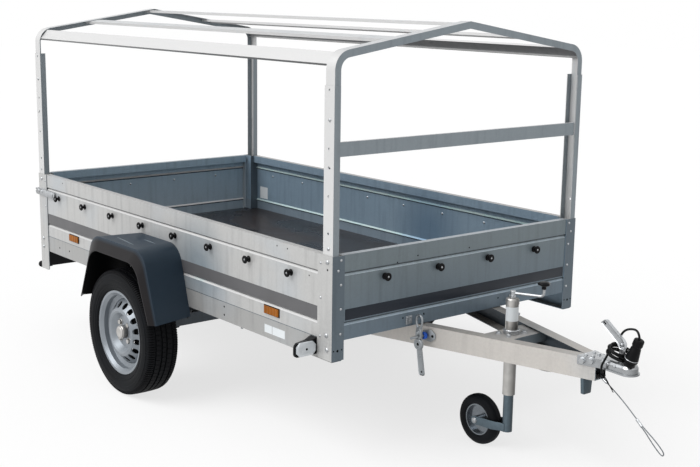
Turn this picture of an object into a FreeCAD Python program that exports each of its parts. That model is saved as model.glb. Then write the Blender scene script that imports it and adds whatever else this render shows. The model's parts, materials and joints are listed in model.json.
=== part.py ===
import FreeCAD, Part
import math
import os
import re
import Sketcher

# Single-axle utility trailer with a tilting load bed, a V drawbar, a jockey wheel
# and a bolted tarpaulin frame. +X points forward to the coupling, +Y to the left, +Z up.
# The origin is on the ground, under the middle of the overall length.
# Inside the sketches, X is measured from the rear face of the load bed.

doc = FreeCAD.newDocument("UtilityTrailer")
sheet = doc.addObject("Spreadsheet::Sheet", "Sizes")

SIZES = [
    # load bed
    ("bed_length", "2390", "outer length of the load bed"),
    ("bed_width", "1300", "outer width of the load bed"),
    ("rear_reach", "47", "rubber buffers behind the bed"),
    ("nose_reach", "843", "coupling nose ahead of the bed"),
    ("rail_bottom", "416", "underside of the chassis rails above the ground"),
    ("rail_height", "78", "chassis rail section"),
    ("rail_flange", "45", "chassis rail section"),
    ("rail_sheet", "2.5", "chassis rail sheet"),
    ("board_thick", "9", "plywood floor"),
    ("panel_height", "312", "sides above the rails"),
    ("panel_sheet", "2", "side sheet"),
    ("rim_width", "28", "folded rim on top of the sides"),
    ("rim_drop", "38", "folded rim, height of its inner face"),
    ("rim_lip", "10", "folded rim, return under it"),
    ("bead_depth", "7", "pressed bead in the sides"),
    ("bead_half", "7", "half height of the pressed bead"),
    ("lower_bead", "59", "bead above the rails"),
    ("upper_bead", "242", "bead above the rails"),
    ("post_sheet", "3", "corner post sheet"),
    ("post_side_flange", "85", "corner post, width on the long side"),
    ("post_end_flange", "56", "corner post, width on the short side"),
    ("post_front_drop", "74", "front posts below the floor"),
    ("post_rear_drop", "177", "rear posts below the floor"),
    ("post_round", "14", "rounded lower corner of the side flange"),
    ("post_box_length", "60", "inner box of a corner post, along X"),
    ("post_box_width", "48", "inner box of a corner post, along Y"),
    ("post_box_sheet", "2", "inner box of a corner post"),
    ("swing_gap", "5.5", "clearance of the moving panels"),
    # cross members and rear end
    ("member_height", "55", "floor cross members"),
    ("member_width", "50", "floor cross members"),
    ("member_sheet", "3", "floor cross members"),
    ("member_pitch", "420", "spacing of the floor cross members"),
    ("member_first", "160", "first floor cross member from the rear"),
    ("member_count", "3", "floor cross members"),
    ("sill_width", "40", "front and rear floor sills"),
    ("sill_sheet", "2", "front and rear floor sills"),
    ("light_board_station", "42", "light board from the rear face"),
    ("light_board_sheet", "3", "light board"),
    ("light_board_height", "85", "light board below the rails"),
    ("lamp_width", "150", "rear lamps"),
    ("lamp_height", "76", "rear lamps"),
    ("lamp_outer", "590", "outer edge of the rear lamps"),
    ("lamp_setback", "1", "rear lamps from the rear face"),
    ("lamp_rise", "4", "rear lamps above the light board's lower edge"),
    ("buffer_radius", "16", "rubber buffers at the rear posts"),
    ("buffer_drop", "90", "rubber buffers below the rails"),
    # tailgate
    ("hinge_setback", "7", "tailgate hinge behind the rear face"),
    ("hinge_rise", "8", "tailgate hinge above the rails"),
    ("hinge_radius", "5", "tailgate hinge barrel"),
    ("hinge_pin_radius", "3", "tailgate hinge pin"),
    ("hinge_length", "60", "tailgate hinge barrel"),
    ("hinge_place", "420", "tailgate hinges from the centre plane"),
    ("hinge_leaf", "3", "tailgate hinge leaf"),
    ("hinge_ear", "11", "fixed hinge ears, along the pin"),
    ("hinge_ear_gap", "1", "fixed hinge ears from the barrel"),
    ("pin_play", "0.05", "radial play of pins and shafts"),
    # axle and wheels
    ("axle_station", "1156", "wheel centres from the rear face"),
    ("tyre_radius", "273.5", "155/70 R13"),
    ("tyre_width", "155", "155/70 R13"),
    ("tyre_belly_rise", "36", "widest part of the tyre outside the rim flange"),
    ("tyre_belly_round", "30", "sidewall of the tyre"),
    ("tyre_foot_rise", "3", "lower sidewall outside the rim flange"),
    ("tyre_foot_setback", "6", "lower sidewall inside the belly"),
    ("tyre_flange_play", "0.5", "tyre outside the rim flange"),
    ("tyre_flange_setback", "5.5", "tyre at the rim flange, from the rim's edge"),
    ("tyre_crown", "4", "shoulder of the tread below its middle"),
    ("tyre_shoulder", "12", "shoulder of the tread inside the belly"),
    ("tyre_shoulder_round", "14", "shoulder of the tread"),
    ("tread_round", "900", "crown of the tread"),
    ("rim_radius", "182.5", "rim flange of a 13 inch rim"),
    ("rim_width_wheel", "127", "over the rim flanges"),
    ("rim_well", "146", "barrel of the rim"),
    ("rim_plate", "4", "rim steel"),
    ("rim_seat_rise", "18.7", "bead seats outside the barrel"),
    ("rim_seat_half", "28", "inner edge of the bead seats from the rim's middle"),
    ("rim_well_half", "20", "half width of the barrel's floor"),
    ("rim_slope", "2", "inner face of the barrel's slopes"),
    ("rim_edge", "2", "turned edge of the rim"),
    ("rim_curl", "8", "curl of the flange"),
    ("rim_hump", "14", "start of the bead seat from the edge"),
    ("disc_setback", "12", "outer edge of the wheel disc behind its mounting face"),
    ("disc_shoulder", "11", "shoulder of the disc inside the barrel"),
    ("disc_shoulder_drop", "4", "shoulder of the disc"),
    ("disc_ring_outer", "104", "raised ring of the disc"),
    ("disc_ring_outer_rise", "26", "raised ring of the disc"),
    ("disc_ring", "92", "crown of the raised ring"),
    ("disc_ring_rise", "30", "crown of the raised ring"),
    ("disc_ring_inner", "84", "raised ring of the disc"),
    ("disc_ring_inner_rise", "25", "raised ring of the disc"),
    ("disc_seat", "68", "flat middle of the disc"),
    ("disc_play", "2", "hole of the disc round the grease cap"),
    ("disc_cut", "34", "holes of the disc, either side of its mounting face"),
    ("wheel_track", "772.5", "wheel centre from the centre plane"),
    ("vent_count", "16", "round vents in the rim"),
    ("vent_radius", "13", "round vents in the rim"),
    ("vent_circle", "118", "circle of the vents"),
    ("vent_first", "13", "turn of the first vent in degrees"),
    ("hub_face", "31", "mounting face outside the wheel centre"),
    ("hub_radius", "62", "hub flange"),
    ("hub_barrel", "36", "hub barrel"),
    ("hub_flange", "12", "hub flange, thickness"),
    ("hub_back", "60", "hub barrel inside the wheel centre"),
    ("cap_radius", "27", "grease cap"),
    ("cap_reach", "64", "grease cap outside the wheel centre"),
    ("cap_dome", "6", "dome of the grease cap"),
    ("cap_round", "5", "edge of the grease cap"),
    ("cap_crown", "15", "flat top of the grease cap"),
    ("bolt_circle", "50", "radius of the wheel bolts"),
    ("bolt_first", "45", "turn of the first wheel bolt in degrees"),
    ("bolt_radius", "9.5", "wheel bolt heads"),
    ("bolt_head", "9", "wheel bolt heads"),
    ("bolt_count", "4", "wheel bolts"),
    ("stud_radius", "6", "wheel bolt shanks"),
    ("spindle_radius", "15", "stub axle"),
    ("spindle_setback", "20", "stub axle inside the hub's face"),
    ("spindle_play", "1", "stub axle from the end of its bore"),
    ("axle_lead", "155", "axle tube ahead of the wheel centres"),
    ("axle_tube", "50", "square axle tube"),
    ("axle_tube_drop", "80", "centre of the axle tube below the rails"),
    ("axle_tube_half", "645", "half length of the axle tube"),
    ("swing_arm_thick", "20", "trailing arm"),
    ("swing_arm_end", "30", "trailing arm, half height"),
    ("swing_arm_round", "16", "trailing arm, rounded corners"),
    ("axle_bracket", "90", "axle bracket along the rail"),
    ("axle_bracket_width", "38", "axle bracket across the rail"),
    # fenders
    ("fender_bottom", "376", "lower edge of the fender"),
    ("fender_top", "668", "top of the fender"),
    ("fender_foot", "324", "half length at the lower edge"),
    ("fender_shoulder", "222", "half length at the top"),
    ("fender_inner_foot", "276", "half length at the lower edge, next to the bed"),
    ("fender_inner_shoulder", "190", "half length at the top, next to the bed"),
    ("fender_outer", "838", "outer shoulder from the centre plane"),
    ("fender_lip_reach", "862", "outer lip from the centre plane"),
    ("fender_lip_foot", "300", "half length of the arch at the lower edge"),
    ("fender_lip_shoulder", "196", "half length of the arch at the top"),
    ("fender_lip_top", "614", "top of the arch"),
    ("fender_round", "95", "rounded shoulders"),
    ("fender_sheet", "4", "fender plastic"),
    # tarpaulin frame
    ("sleeve_length", "56", "lower posts, along X"),
    ("sleeve_width", "28", "lower posts, along Y"),
    ("sleeve_sheet", "2.5", "lower posts"),
    ("sleeve_bottom", "700", "lower end of the lower posts"),
    ("sleeve_top", "1404", "upper end of the lower posts"),
    ("post_hole_radius", "5", "holes in the lower posts"),
    ("post_hole_top", "15", "uppermost hole below the upper end"),
    ("post_hole_clamp", "219", "clamping hole below the upper end"),
    ("post_hole_spare", "285", "spare hole below the upper end"),
    ("post_hole_low", "387", "hole at the hoop's foot below the upper end"),
    ("post_hole_tie", "520", "lowest hole below the upper end"),
    ("hoop_flange", "50", "hoop section, along X"),
    ("hoop_web", "27", "hoop section, across"),
    ("hoop_sheet", "2.5", "hoop section"),
    ("hoop_bottom", "1010", "lower end of the hoops"),
    ("hoop_ridge", "1621", "ridge of the hoops"),
    ("hoop_bend", "72", "outer radius of the eaves"),
    ("roof_slope", "9.1", "roof slope in degrees"),
    ("roof_rail_width", "54", "longitudinal roof rails"),
    ("roof_rail_depth", "12", "longitudinal roof rails"),
    ("roof_rail_sheet", "2", "longitudinal roof rails"),
    ("roof_rail_middle", "347", "middle rails from the centre plane"),
    ("crossbar_bottom", "1157", "front crossbar"),
    ("crossbar_height", "51", "front crossbar"),
    ("crossbar_depth", "14", "front crossbar"),
    ("crossbar_sheet", "2", "front crossbar"),
    # drawbar
    ("pivot_lead", "27", "tilt pivot ahead of the wheel centres"),
    ("pivot_rise", "24", "tilt pivot above the underside of the rails"),
    ("pivot_radius", "21", "pivot tube"),
    ("pivot_pin_radius", "12", "pivot pins"),
    ("pivot_plate", "10", "pivot bearing plates"),
    ("pivot_plate_length", "90", "pivot bearing plates"),
    ("pivot_plate_gap", "2", "pivot plates outside the inner edge of the rails"),
    ("pivot_tube_gap", "6", "pivot tube from its bearing plates"),
    ("pivot_pin_reach", "10", "pivot pins outside their bearing plates"),
    ("arm_rear_gap", "39.2", "rear ends of the arms from the inner edge of the rails"),
    ("arm_tip_half", "26.4", "half width over the arms at their front end"),
    ("arm_tip_back", "22", "front end of the arms behind the neck"),
    ("arm_drop", "6", "underside of the arms below the rails"),
    ("arm_height", "78", "arm section"),
    ("arm_flange", "46", "arm section"),
    ("arm_sheet", "4", "arm section"),
    ("seat_gap", "0.3", "seated faces of curved pieces"),
    # coupling
    ("saddle_length", "86", "saddle over the arms"),
    ("coupling_plate", "4", "pressed steel of the coupling"),
    ("saddle_rise", "50", "lower edge of the saddle above the underside of the arms"),
    ("neck_length", "99", "from the saddle to the ball"),
    ("neck_half", "25", "half width of the neck at the saddle"),
    ("ball_rise", "56", "coupling ball above the underside of the arms"),
    ("ball_radius", "25.2", "socket for a 50 mm ball"),
    ("socket_wall", "6.8", "wall round the socket"),
    ("nose_lip", "5", "lip round the neck and the nose"),
    ("nose_lip_height", "6", "lip round the neck and the nose"),
    ("nose_round", "12", "rounded top edge of the nose"),
    ("nose_flat", "2", "flat front of the nose"),
    ("lip_drop", "4", "lower edge of the neck below the ball's middle"),
    ("socket_drop", "8", "cut of the socket below the ball's middle"),
    ("handle_width", "16", "coupling handle"),
    ("handle_foot", "12", "coupling handle, narrow foot"),
    ("handle_rise", "58", "bend of the handle above the nose"),
    ("handle_foot_back", "44", "rear edge of the handle's foot behind the ball"),
    ("handle_foot_front", "25", "front edge of the handle's foot behind the ball"),
    ("handle_bend_back", "40", "rear edge of the foot at the bend"),
    ("handle_bend_front", "20", "front edge of the foot at the bend"),
    ("handle_heel", "12", "lower edge of the grip below the bend"),
    ("handle_heel_back", "42", "rear corner of the grip's heel behind the ball"),
    ("handle_heel_front", "18", "front corner of the grip's heel behind the ball"),
    ("handle_knee_rise", "13", "front of the grip above the bend"),
    ("handle_knee_round", "12", "front of the grip"),
    ("handle_tip_back", "108", "upper corner of the grip's end behind the ball"),
    ("handle_tip_rise", "78", "upper corner of the grip's end above the bend"),
    ("handle_end_back", "126", "lower corner of the grip's end behind the ball"),
    ("handle_end_rise", "61", "lower corner of the grip's end above the bend"),
    ("handle_round", "8", "corners of the grip's end"),
    ("handle_crook_back", "52", "inner corner of the grip behind the ball"),
    ("handle_crook_rise", "6", "inner corner of the grip above the bend"),
    ("handle_crook_round", "6", "inner corner of the grip"),
    ("skid_back", "50", "foot plate behind the arms' front end"),
    ("skid_length", "14", "foot plate under the coupling"),
    ("skid_bottom", "344", "foot plate under the coupling"),
    ("skid_width", "50", "foot plate under the coupling"),
    ("skid_sheet", "4", "foot plate under the coupling"),
    # lighting lead and safety rope
    ("clip_length", "14", "rubber clip behind the coupling's neck"),
    ("clip_outer", "7", "clip outside the neck"),
    ("clip_inner", "12", "clip inside the neck"),
    ("clip_drop", "38", "lower edge of the clip below the ball's middle"),
    ("lead_radius", "4", "lighting lead"),
    ("rope_radius", "2", "safety rope"),
    ("ferrule_radius", "5.5", "crimped sleeves of the rope"),
    ("cord_unit", "1", "unit of the points on the lead and the rope"),
    ("coil_back", "44", "middle of the coiled lead behind the ball"),
    ("coil_rise", "61", "middle of the coiled lead above the ball"),
    ("coil_outer", "42", "coiled lead"),
    ("coil_inner", "32", "coiled lead"),
    ("coil_band", "30", "coiled lead"),
    ("coil_tilt", "20", "lean of the coil in degrees"),
    ("plug_length", "104", "plug of the lead"),
    ("plug_radius", "24.5", "plug of the lead"),
    ("plug_cap_radius", "18.5", "plug of the lead"),
    ("plug_tip_radius", "20", "plug of the lead"),
    ("plug_tip", "18", "contact end of the plug"),
    ("plug_collar", "8", "collar of the plug"),
    ("plug_waist", "17.5", "plug below its cap"),
    ("plug_cap", "26", "cap of the plug"),
    ("plug_groove", "4", "groove below the plug's cap"),
    ("plug_chamfer", "2.5", "edges of the plug"),
    # jockey wheel
    ("jockey_back", "423", "jockey tube behind the arms' front end"),
    ("jockey_radius", "24", "outer tube"),
    ("jockey_wall", "2.5", "outer tube"),
    ("jockey_bottom", "240", "lower end of the outer tube"),
    ("jockey_top", "592", "upper end of the outer tube"),
    ("jockey_cap", "24", "cap on the outer tube"),
    ("jockey_cap_wall", "1.5", "cap outside the tube"),
    ("jockey_cap_round", "8", "edge of the cap"),
    ("jockey_cap_plug", "3", "cap inside the tube"),
    ("jockey_inner_radius", "19", "inner tube"),
    ("jockey_inner_wall", "2.5", "inner tube"),
    ("jockey_inner_top", "444", "upper end of the inner tube"),
    ("jockey_fork_bottom", "78", "lower end of the inner tube and the fork"),
    ("nut_height", "24", "spindle nut"),
    ("trail", "142", "jockey wheel behind its tube"),
    ("jockey_wheel_radius", "100", "jockey wheel"),
    ("jockey_wheel_width", "50", "jockey wheel"),
    ("jockey_rim_radius", "62", "steel rim of the jockey wheel"),
    ("jockey_hub_radius", "16", "hub of the jockey wheel"),
    ("jockey_pin_radius", "6", "axle of the jockey wheel"),
    ("jockey_disc_half", "3", "disc of the jockey wheel, half thickness"),
    ("jockey_rim_plate", "5", "rim of the jockey wheel"),
    ("jockey_rim_half", "18", "rim of the jockey wheel, half width"),
    ("jockey_bead_half", "17", "tyre at the rim, half width"),
    ("jockey_wall_rise", "8", "sidewall of the jockey tyre outside its rim"),
    ("jockey_wall_round", "5", "sidewall of the jockey tyre"),
    ("jockey_crown", "3", "shoulder of the jockey tyre below its middle"),
    ("jockey_shoulder_round", "14", "shoulder of the jockey tyre"),
    ("jockey_tread_round", "40", "crown of the jockey tyre"),
    ("fork_sheet", "5", "fork arms"),
    ("fork_height", "36", "fork arms"),
    ("fork_gap", "4", "fork arm from the wheel hub"),
    ("fork_pin_reach", "4", "axle of the jockey wheel outside the fork"),
    ("crank_reach", "118", "crank arm"),
    ("crank_turn", "-65", "crank arm from the +Y axis, in degrees"),
    ("crank_radius", "5.5", "crank rod"),
    ("crank_boss", "28", "boss of the crank on the cap"),
    ("crank_boss_radius", "11", "boss of the crank"),
    ("crank_rise", "12", "crank arm above the cap"),
    ("crank_tail", "4", "crank arm past the boss's middle"),
    ("crank_knob_height", "681", "middle of the crank knob"),
    ("crank_knob_radius", "25", "crank knob"),
    ("crank_knob_thick", "20", "crank knob"),
    ("plate_behind", "56", "cross plate behind the jockey tube's axis"),
    ("plate_ahead", "60", "cross plate ahead of the jockey tube's axis"),
    ("plate_inset", "10", "cross plate below the top of the arms"),
    ("plate_drop", "36", "cross plate flanges"),
    ("plate_sheet", "4", "cross plate"),
    # lamps, reflectors, knobs and latches
    ("marker_back", "90", "front face of the marker lamps behind the bed's front"),
    ("marker_depth", "36", "marker lamps, along X at the rail"),
    ("marker_edge", "6", "marker lamps, along X at their outer end"),
    ("marker_root", "8", "marker lamps, back face beside the rail"),
    ("marker_reach", "100", "marker lamps beside the rail"),
    ("marker_rise", "14", "marker lamps above the underside of the rails"),
    ("marker_height", "62", "marker lamps"),
    ("marker_slope", "9", "fall of the marker lamps' top"),
    ("marker_shoulder", "36", "sloping part of the marker lamps' top beside the rail"),
    ("marker_round", "17", "outer corners of the marker lamps"),
    ("reflector_length", "100", "side reflectors"),
    ("reflector_height", "36", "side reflectors"),
    ("reflector_depth", "9", "side reflectors"),
    ("reflector_rise", "17", "side reflectors above the rails"),
    ("reflector_rear", "321", "rear side reflector"),
    ("reflector_back", "420", "front side reflector behind the bed's front"),
    ("knob_rise", "209", "tarpaulin knobs above the rails"),
    ("knob_radius", "14", "tarpaulin knobs"),
    ("knob_neck", "6", "tarpaulin knobs"),
    ("knob_reach", "24", "tarpaulin knobs"),
    ("knob_head", "10", "tarpaulin knobs"),
    ("knob_side_first", "215", "first knob on the side"),
    ("knob_side_last", "250", "last knob on the side behind the bed's front"),
    ("knob_side_count", "8", "knobs on a side"),
    ("knob_end_pitch", "268", "spacing on the front"),
    ("knob_end_count", "4", "knobs on the front"),
    ("latch_reach", "30", "tilt latches ahead of the bed"),
    ("latch_depth", "13", "tilt latches, thickness along Y"),
    ("latch_gap", "34", "tilt latches beside the arm"),
    ("latch_block_foot", "14", "latch block, half width at the cam"),
    ("latch_block_head", "8", "latch block, half width below the eye"),
    ("latch_block_drop", "38", "latch block below the top of the arm"),
    ("latch_block_rise", "20", "latch block below the middle of the eye"),
    ("latch_strut_half", "12", "latch strut, half width"),
    ("latch_strut", "28", "latch strut above the cam's middle"),
    ("latch_plate_rear", "20", "latch plate behind the latch"),
    ("latch_plate_front", "40", "latch plate ahead of the latch"),
    ("latch_plate_half", "24", "latch plate, half height"),
    ("latch_plate", "6", "latch plate on the arm"),
    ("latch_rod_radius", "5", "cross rod of the latch"),
    ("latch_rod_reach", "36", "cross rod outside the latch"),
    ("latch_rod_drop", "34", "cross rod below the top of the arm"),
    ("latch_cap_radius", "14", "cap on the cross rod"),
    ("latch_cap_length", "16", "cap on the cross rod"),
    ("latch_cap_gap", "2", "cap outside the latch plate"),
    ("latch_eye_height", "513", "centre of the latch's eye"),
    ("latch_wire", "8", "latch's eye"),
    ("latch_eye_half", "18", "latch's eye, half width"),
    ("latch_eye_half_height", "27", "latch's eye, half height"),
    ("latch_eye_round", "17", "latch's eye, upper corners"),
    ("latch_eye_foot_round", "14", "latch's eye, lower corners"),
    ("latch_cam_radius", "22", "round cam of the latch"),
    ("latch_cam_drop", "63", "cam's middle below the top of the arm"),
    ("latch_lever", "118", "hanging lever of the latch"),
    ("latch_lever_half", "11", "lever, half width"),
    ("latch_lever_lean", "21", "foot of the lever ahead of its head"),
    ("latch_lever_round", "8", "foot of the lever"),
    ("latch_lever_inset", "2", "lever inside the faces of the block"),
    ("latch_hook_width", "32", "hook on the bed's front"),
    ("latch_hook_shift", "24", "hook outside the latch's eye"),
    ("latch_hook_reach", "10", "hook on the bed's front"),
    ("latch_hook_rise", "5", "hook above the rails"),
    ("latch_hook_height", "34", "hook on the bed's front"),
    ("latch_hook_round", "6", "hook on the bed's front"),
    ("gate_latch_rise", "210", "tailgate latches above the rails"),
    ("gate_latch_length", "216", "tailgate latches along the side"),
    ("gate_latch_height", "28", "tailgate latches"),
    ("gate_latch_depth", "12", "tailgate latches"),
    ("gate_hook_reach", "30", "hook behind the rear post"),
    ("gate_hook_depth", "10", "hook into the rear post"),
    ("gate_hook_sheet", "6", "hook behind the rear post"),
]

# Lengths worked out from the sheet.
DERIVED = {
    "half_width": "bed_width / 2",
    "deck": "rail_bottom + rail_height",
    "rim_top": "deck + panel_height",
    "skin": "half_width - post_sheet",
    "box_inner": "skin - post_box_width",
    "rear_face": "(rear_reach - bed_length - nose_reach) / 2",
    "tailgate_half": "half_width - post_end_flange - swing_gap",
    "hinge_height": "deck + hinge_rise",
    "hoop_outer": "skin - sleeve_sheet",
    "hoop_eave": "hoop_ridge - hoop_outer * tan(roof_slope)",
    "axle_tube_height": "rail_bottom - axle_tube_drop",
    "buffer_height": "rail_bottom - buffer_drop",
    "marker_bottom": "rail_bottom + marker_rise",
    "marker_station": "bed_length - marker_back",
    "reflector_front": "bed_length - reflector_back",
    "knob_side_pitch": "(bed_length - knob_side_first - knob_side_last) / (knob_side_count - 1)",
    "latch_station": "bed_length + latch_reach",
    "pivot_height": "rail_bottom + pivot_rise",
    "pivot_station": "axle_station + pivot_lead",
    "bearing_half": "skin - rail_flange + pivot_plate_gap",
    "ball_station": "bed_length + nose_reach - nose_lip - socket_wall - ball_radius",
    "neck_station": "ball_station - neck_length",
    "coupling_rear": "neck_station - saddle_length",
    "arm_tip": "neck_station - arm_tip_back",
    "arm_rear_half": "bearing_half - pivot_plate_gap - arm_rear_gap",
    "arm_apex": "arm_tip + arm_tip_half / arm_slope",
    "arm_bottom": "rail_bottom - arm_drop",
    "ball_height": "arm_bottom + ball_rise",
    "coupling_bottom": "arm_bottom + saddle_rise",
    "skid_front": "arm_tip - skid_back",
    "coil_station": "ball_station - coil_back",
    "coil_height": "ball_height + coil_rise",
    "jockey_station": "arm_tip - jockey_back",
    "plate_rear": "jockey_station - plate_behind",
    "plate_front": "jockey_station + plate_ahead",
    "plate_top": "arm_top - plate_inset",
    "arm_rear": "pivot_station + pivot_radius + seat_gap",
    "arm_top": "arm_bottom + arm_height",
    "arm_slope": "(arm_rear_half - arm_tip_half) / (arm_tip - arm_rear)",
    "arm_angle": "atan(arm_slope)",
    "arm_web_y": "arm_sheet / cos(arm_angle)",
    "arm_flange_y": "arm_flange / cos(arm_angle)",
    "jockey_bore": "jockey_radius - jockey_wall",
}

aliases = {name for name, value, note in SIZES}
for row, (name, value, note) in enumerate(SIZES, start=1):
    sheet.set("A%d" % row, note)
    sheet.set("B%d" % row, value)
    sheet.setAlias("B%d" % row, name)
doc.recompute()


def bound(text):
    # "skin - rim_width" becomes an expression on the sheet's aliases
    def spell_out(match):
        word = match.group(0)
        if word in DERIVED:
            return "(" + bound(DERIVED[word]) + ")"
        return "Sizes." + word if word in aliases else word
    return re.sub(r"(?<!Sizes\.)\b[a-z_]+", spell_out, text)


def size(text):
    return float(sheet.evalExpression(bound(text)))


def place(part, x="0", y="0", z="0"):
    for axis, text in zip("xyz", (x, y, z)):
        part.setExpression("Placement.Base." + axis, bound(text))


def new_body(label):
    body = doc.addObject("PartDesign::Body", label)
    body.Label = label
    place(body, "rear_face")
    return body


def add_sketch(body, plane, start="0"):
    # start is the distance along +X, +Y or +Z from the body's origin plane
    sketch = body.newObject("Sketcher::SketchObject", body.Name + "Sketch")
    support = [f for f in body.Origin.OriginFeatures if f.Role == plane + "_Plane"][0]
    sketch.AttachmentSupport = [(support, "")]
    sketch.MapMode = "FlatFace"
    sign = "-" if plane == "XZ" else ""
    sketch.setExpression("AttachmentOffset.Base.z", bound("%s(%s)" % (sign, start)))
    return sketch


def fix_point(sketch, index, point, x, y):
    for kind, text in (("DistanceX", x), ("DistanceY", y)):
        number = sketch.addConstraint(Sketcher.Constraint(kind, -1, 1, index, point, size(text)))
        sketch.setExpression("Constraints[%d]" % number, bound(text))


def outline(sketch, corners):
    # closed outline of straight edges; a third value in a corner is its rounding radius
    count = len(corners)
    spots = [FreeCAD.Vector(size(corner[0]), size(corner[1]), 0) for corner in corners]
    radii = [size(corner[2]) if len(corner) > 2 else 0.0 for corner in corners]
    setbacks = []
    for i in range(count):
        back = (spots[i - 1] - spots[i]).normalize()
        ahead = (spots[(i + 1) % count] - spots[i]).normalize()
        half_turn = (math.pi - back.getAngle(ahead)) / 2
        setbacks.append(radii[i] * math.tan(half_turn))
    edges = []
    for i in range(count):
        following = (i + 1) % count
        way = (spots[following] - spots[i]).normalize()
        first = spots[i] + way * setbacks[i]
        last = spots[following] - way * setbacks[following]
        edges.append(sketch.addGeometry(Part.LineSegment(first, last), False))
    for i in range(count):
        arriving = edges[i - 1]
        leaving = edges[i]
        if radii[i] == 0:
            sketch.addConstraint(Sketcher.Constraint("Coincident", arriving, 2, leaving, 1))
            fix_point(sketch, leaving, 1, corners[i][0], corners[i][1])
            continue
        start = sketch.getPoint(arriving, 2)
        end = sketch.getPoint(leaving, 1)
        back = (spots[i - 1] - spots[i]).normalize()
        ahead = (spots[(i + 1) % count] - spots[i]).normalize()
        bisector = (back + ahead).normalize()
        centre = spots[i] + bisector * math.hypot(radii[i], setbacks[i])
        left_turn = back.cross(ahead).z < 0
        first, last = (start, end) if left_turn else (end, start)
        angles = [math.atan2(p.y - centre.y, p.x - centre.x) for p in (first, last)]
        circle = Part.Circle(centre, FreeCAD.Vector(0, 0, 1), radii[i])
        arc = sketch.addGeometry(Part.ArcOfCircle(circle, angles[0], angles[1]), False)
        near, far = (1, 2) if left_turn else (2, 1)
        corner = sketch.addGeometry(Part.Point(spots[i]), True)
        fix_point(sketch, corner, 1, corners[i][0], corners[i][1])
        sketch.addConstraint(Sketcher.Constraint("PointOnObject", corner, 1, arriving))
        sketch.addConstraint(Sketcher.Constraint("PointOnObject", corner, 1, leaving))
        sketch.addConstraint(Sketcher.Constraint("Tangent", arriving, 2, arc, near))
        sketch.addConstraint(Sketcher.Constraint("Tangent", arc, far, leaving, 1))
        number = sketch.addConstraint(Sketcher.Constraint("Radius", arc, radii[i]))
        sketch.setExpression("Constraints[%d]" % number, bound(corners[i][2]))


def ring(sketch, x, y, radius):
    circle = Part.Circle(FreeCAD.Vector(size(x), size(y), 0), FreeCAD.Vector(0, 0, 1), size(radius))
    index = sketch.addGeometry(circle, False)
    fix_point(sketch, index, 3, x, y)
    number = sketch.addConstraint(Sketcher.Constraint("Radius", index, size(radius)))
    sketch.setExpression("Constraints[%d]" % number, bound(radius))


def pad(body, plane, start, length, *outlines):
    # extrudes outlines from start along +X, +Y or +Z
    sketch = add_sketch(body, plane, "%s + %s" % (start, length) if plane == "XZ" else start)
    for corners in outlines:
        outline(sketch, corners)
    feature = body.newObject("PartDesign::Pad", body.Name + "Pad")
    feature.Profile = sketch
    feature.setExpression("Length", bound(length))
    body.Tip = feature
    return feature


def pocket(body, plane, start, length, *outlines):
    # cuts outlines from start along +X, +Y or +Z
    sketch = add_sketch(body, plane, "%s + %s" % (start, length) if plane == "XZ" else start)
    for corners in outlines:
        outline(sketch, corners)
    feature = body.newObject("PartDesign::Pocket", body.Name + "Pocket")
    feature.Profile = sketch
    feature.Reversed = True
    feature.setExpression("Length", bound(length))
    body.Tip = feature
    return feature


def round_pad(body, plane, start, length, x, y, radius, cut=False):
    sketch = add_sketch(body, plane, "%s + %s" % (start, length) if plane == "XZ" else start)
    ring(sketch, x, y, radius)
    kind = "Pocket" if cut else "Pad"
    feature = body.newObject("PartDesign::" + kind, body.Name + kind)
    feature.Profile = sketch
    feature.Reversed = cut
    feature.setExpression("Length", bound(length))
    body.Tip = feature
    return feature


def round_corner(body, x, z, radius):
    # rounds the edge that crosses the sheet at (x, z)
    corner = (size(x), size(z))
    base = body.Tip
    doc.recompute()
    for number, edge in enumerate(base.Shape.Edges, start=1):
        ends = [(vertex.X, vertex.Z) for vertex in edge.Vertexes]
        if all(math.dist(end, corner) < size("pin_play") for end in ends):
            fillet = body.newObject("PartDesign::Fillet", body.Name + "Fillet")
            fillet.Base = (base, ["Edge%d" % number])
            fillet.setExpression("Radius", bound(radius))
            body.Tip = fillet


def revolve(body, corners, plane="XY", axis="V_Axis"):
    # turns a closed outline of (radius, along) corners about the body's own axis
    sketch = add_sketch(body, plane)
    outline(sketch, corners)
    feature = body.newObject("PartDesign::Revolution", body.Name + "Turned")
    feature.Profile = sketch
    feature.ReferenceAxis = (sketch, [axis])
    feature.Angle = 360
    body.Tip = feature
    return feature


def box(x, y, width, height):
    # corners of a rectangle from its low corner
    right = "%s + %s" % (x, width)
    top = "%s + %s" % (y, height)
    return [(x, y), (right, y), (right, top), (x, top)]


def mirrored(source, label):
    # the left-hand twin of a right-hand piece
    twin = doc.addObject("Part::Mirroring", label)
    twin.Label = label
    twin.Source = source
    twin.Normal = FreeCAD.Vector(0, 1, 0)
    parts.append(twin)
    return twin


def pair(source, stem):
    # a right-hand piece and its mirror image as two sub-parts
    source.Label = stem + "_right"
    parts.append(source)
    mirrored(source, stem + "_left")


def both_sides(source, label):
    # a right-hand piece and its mirror image as one sub-part
    twin = doc.addObject("Part::Mirroring", label + "Twin")
    twin.Source = source
    twin.Normal = FreeCAD.Vector(0, 1, 0)
    whole = doc.addObject("Part::Compound", label)
    whole.Label = label
    whole.Links = [source, twin]
    parts.append(whole)
    return whole


parts = []


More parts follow.
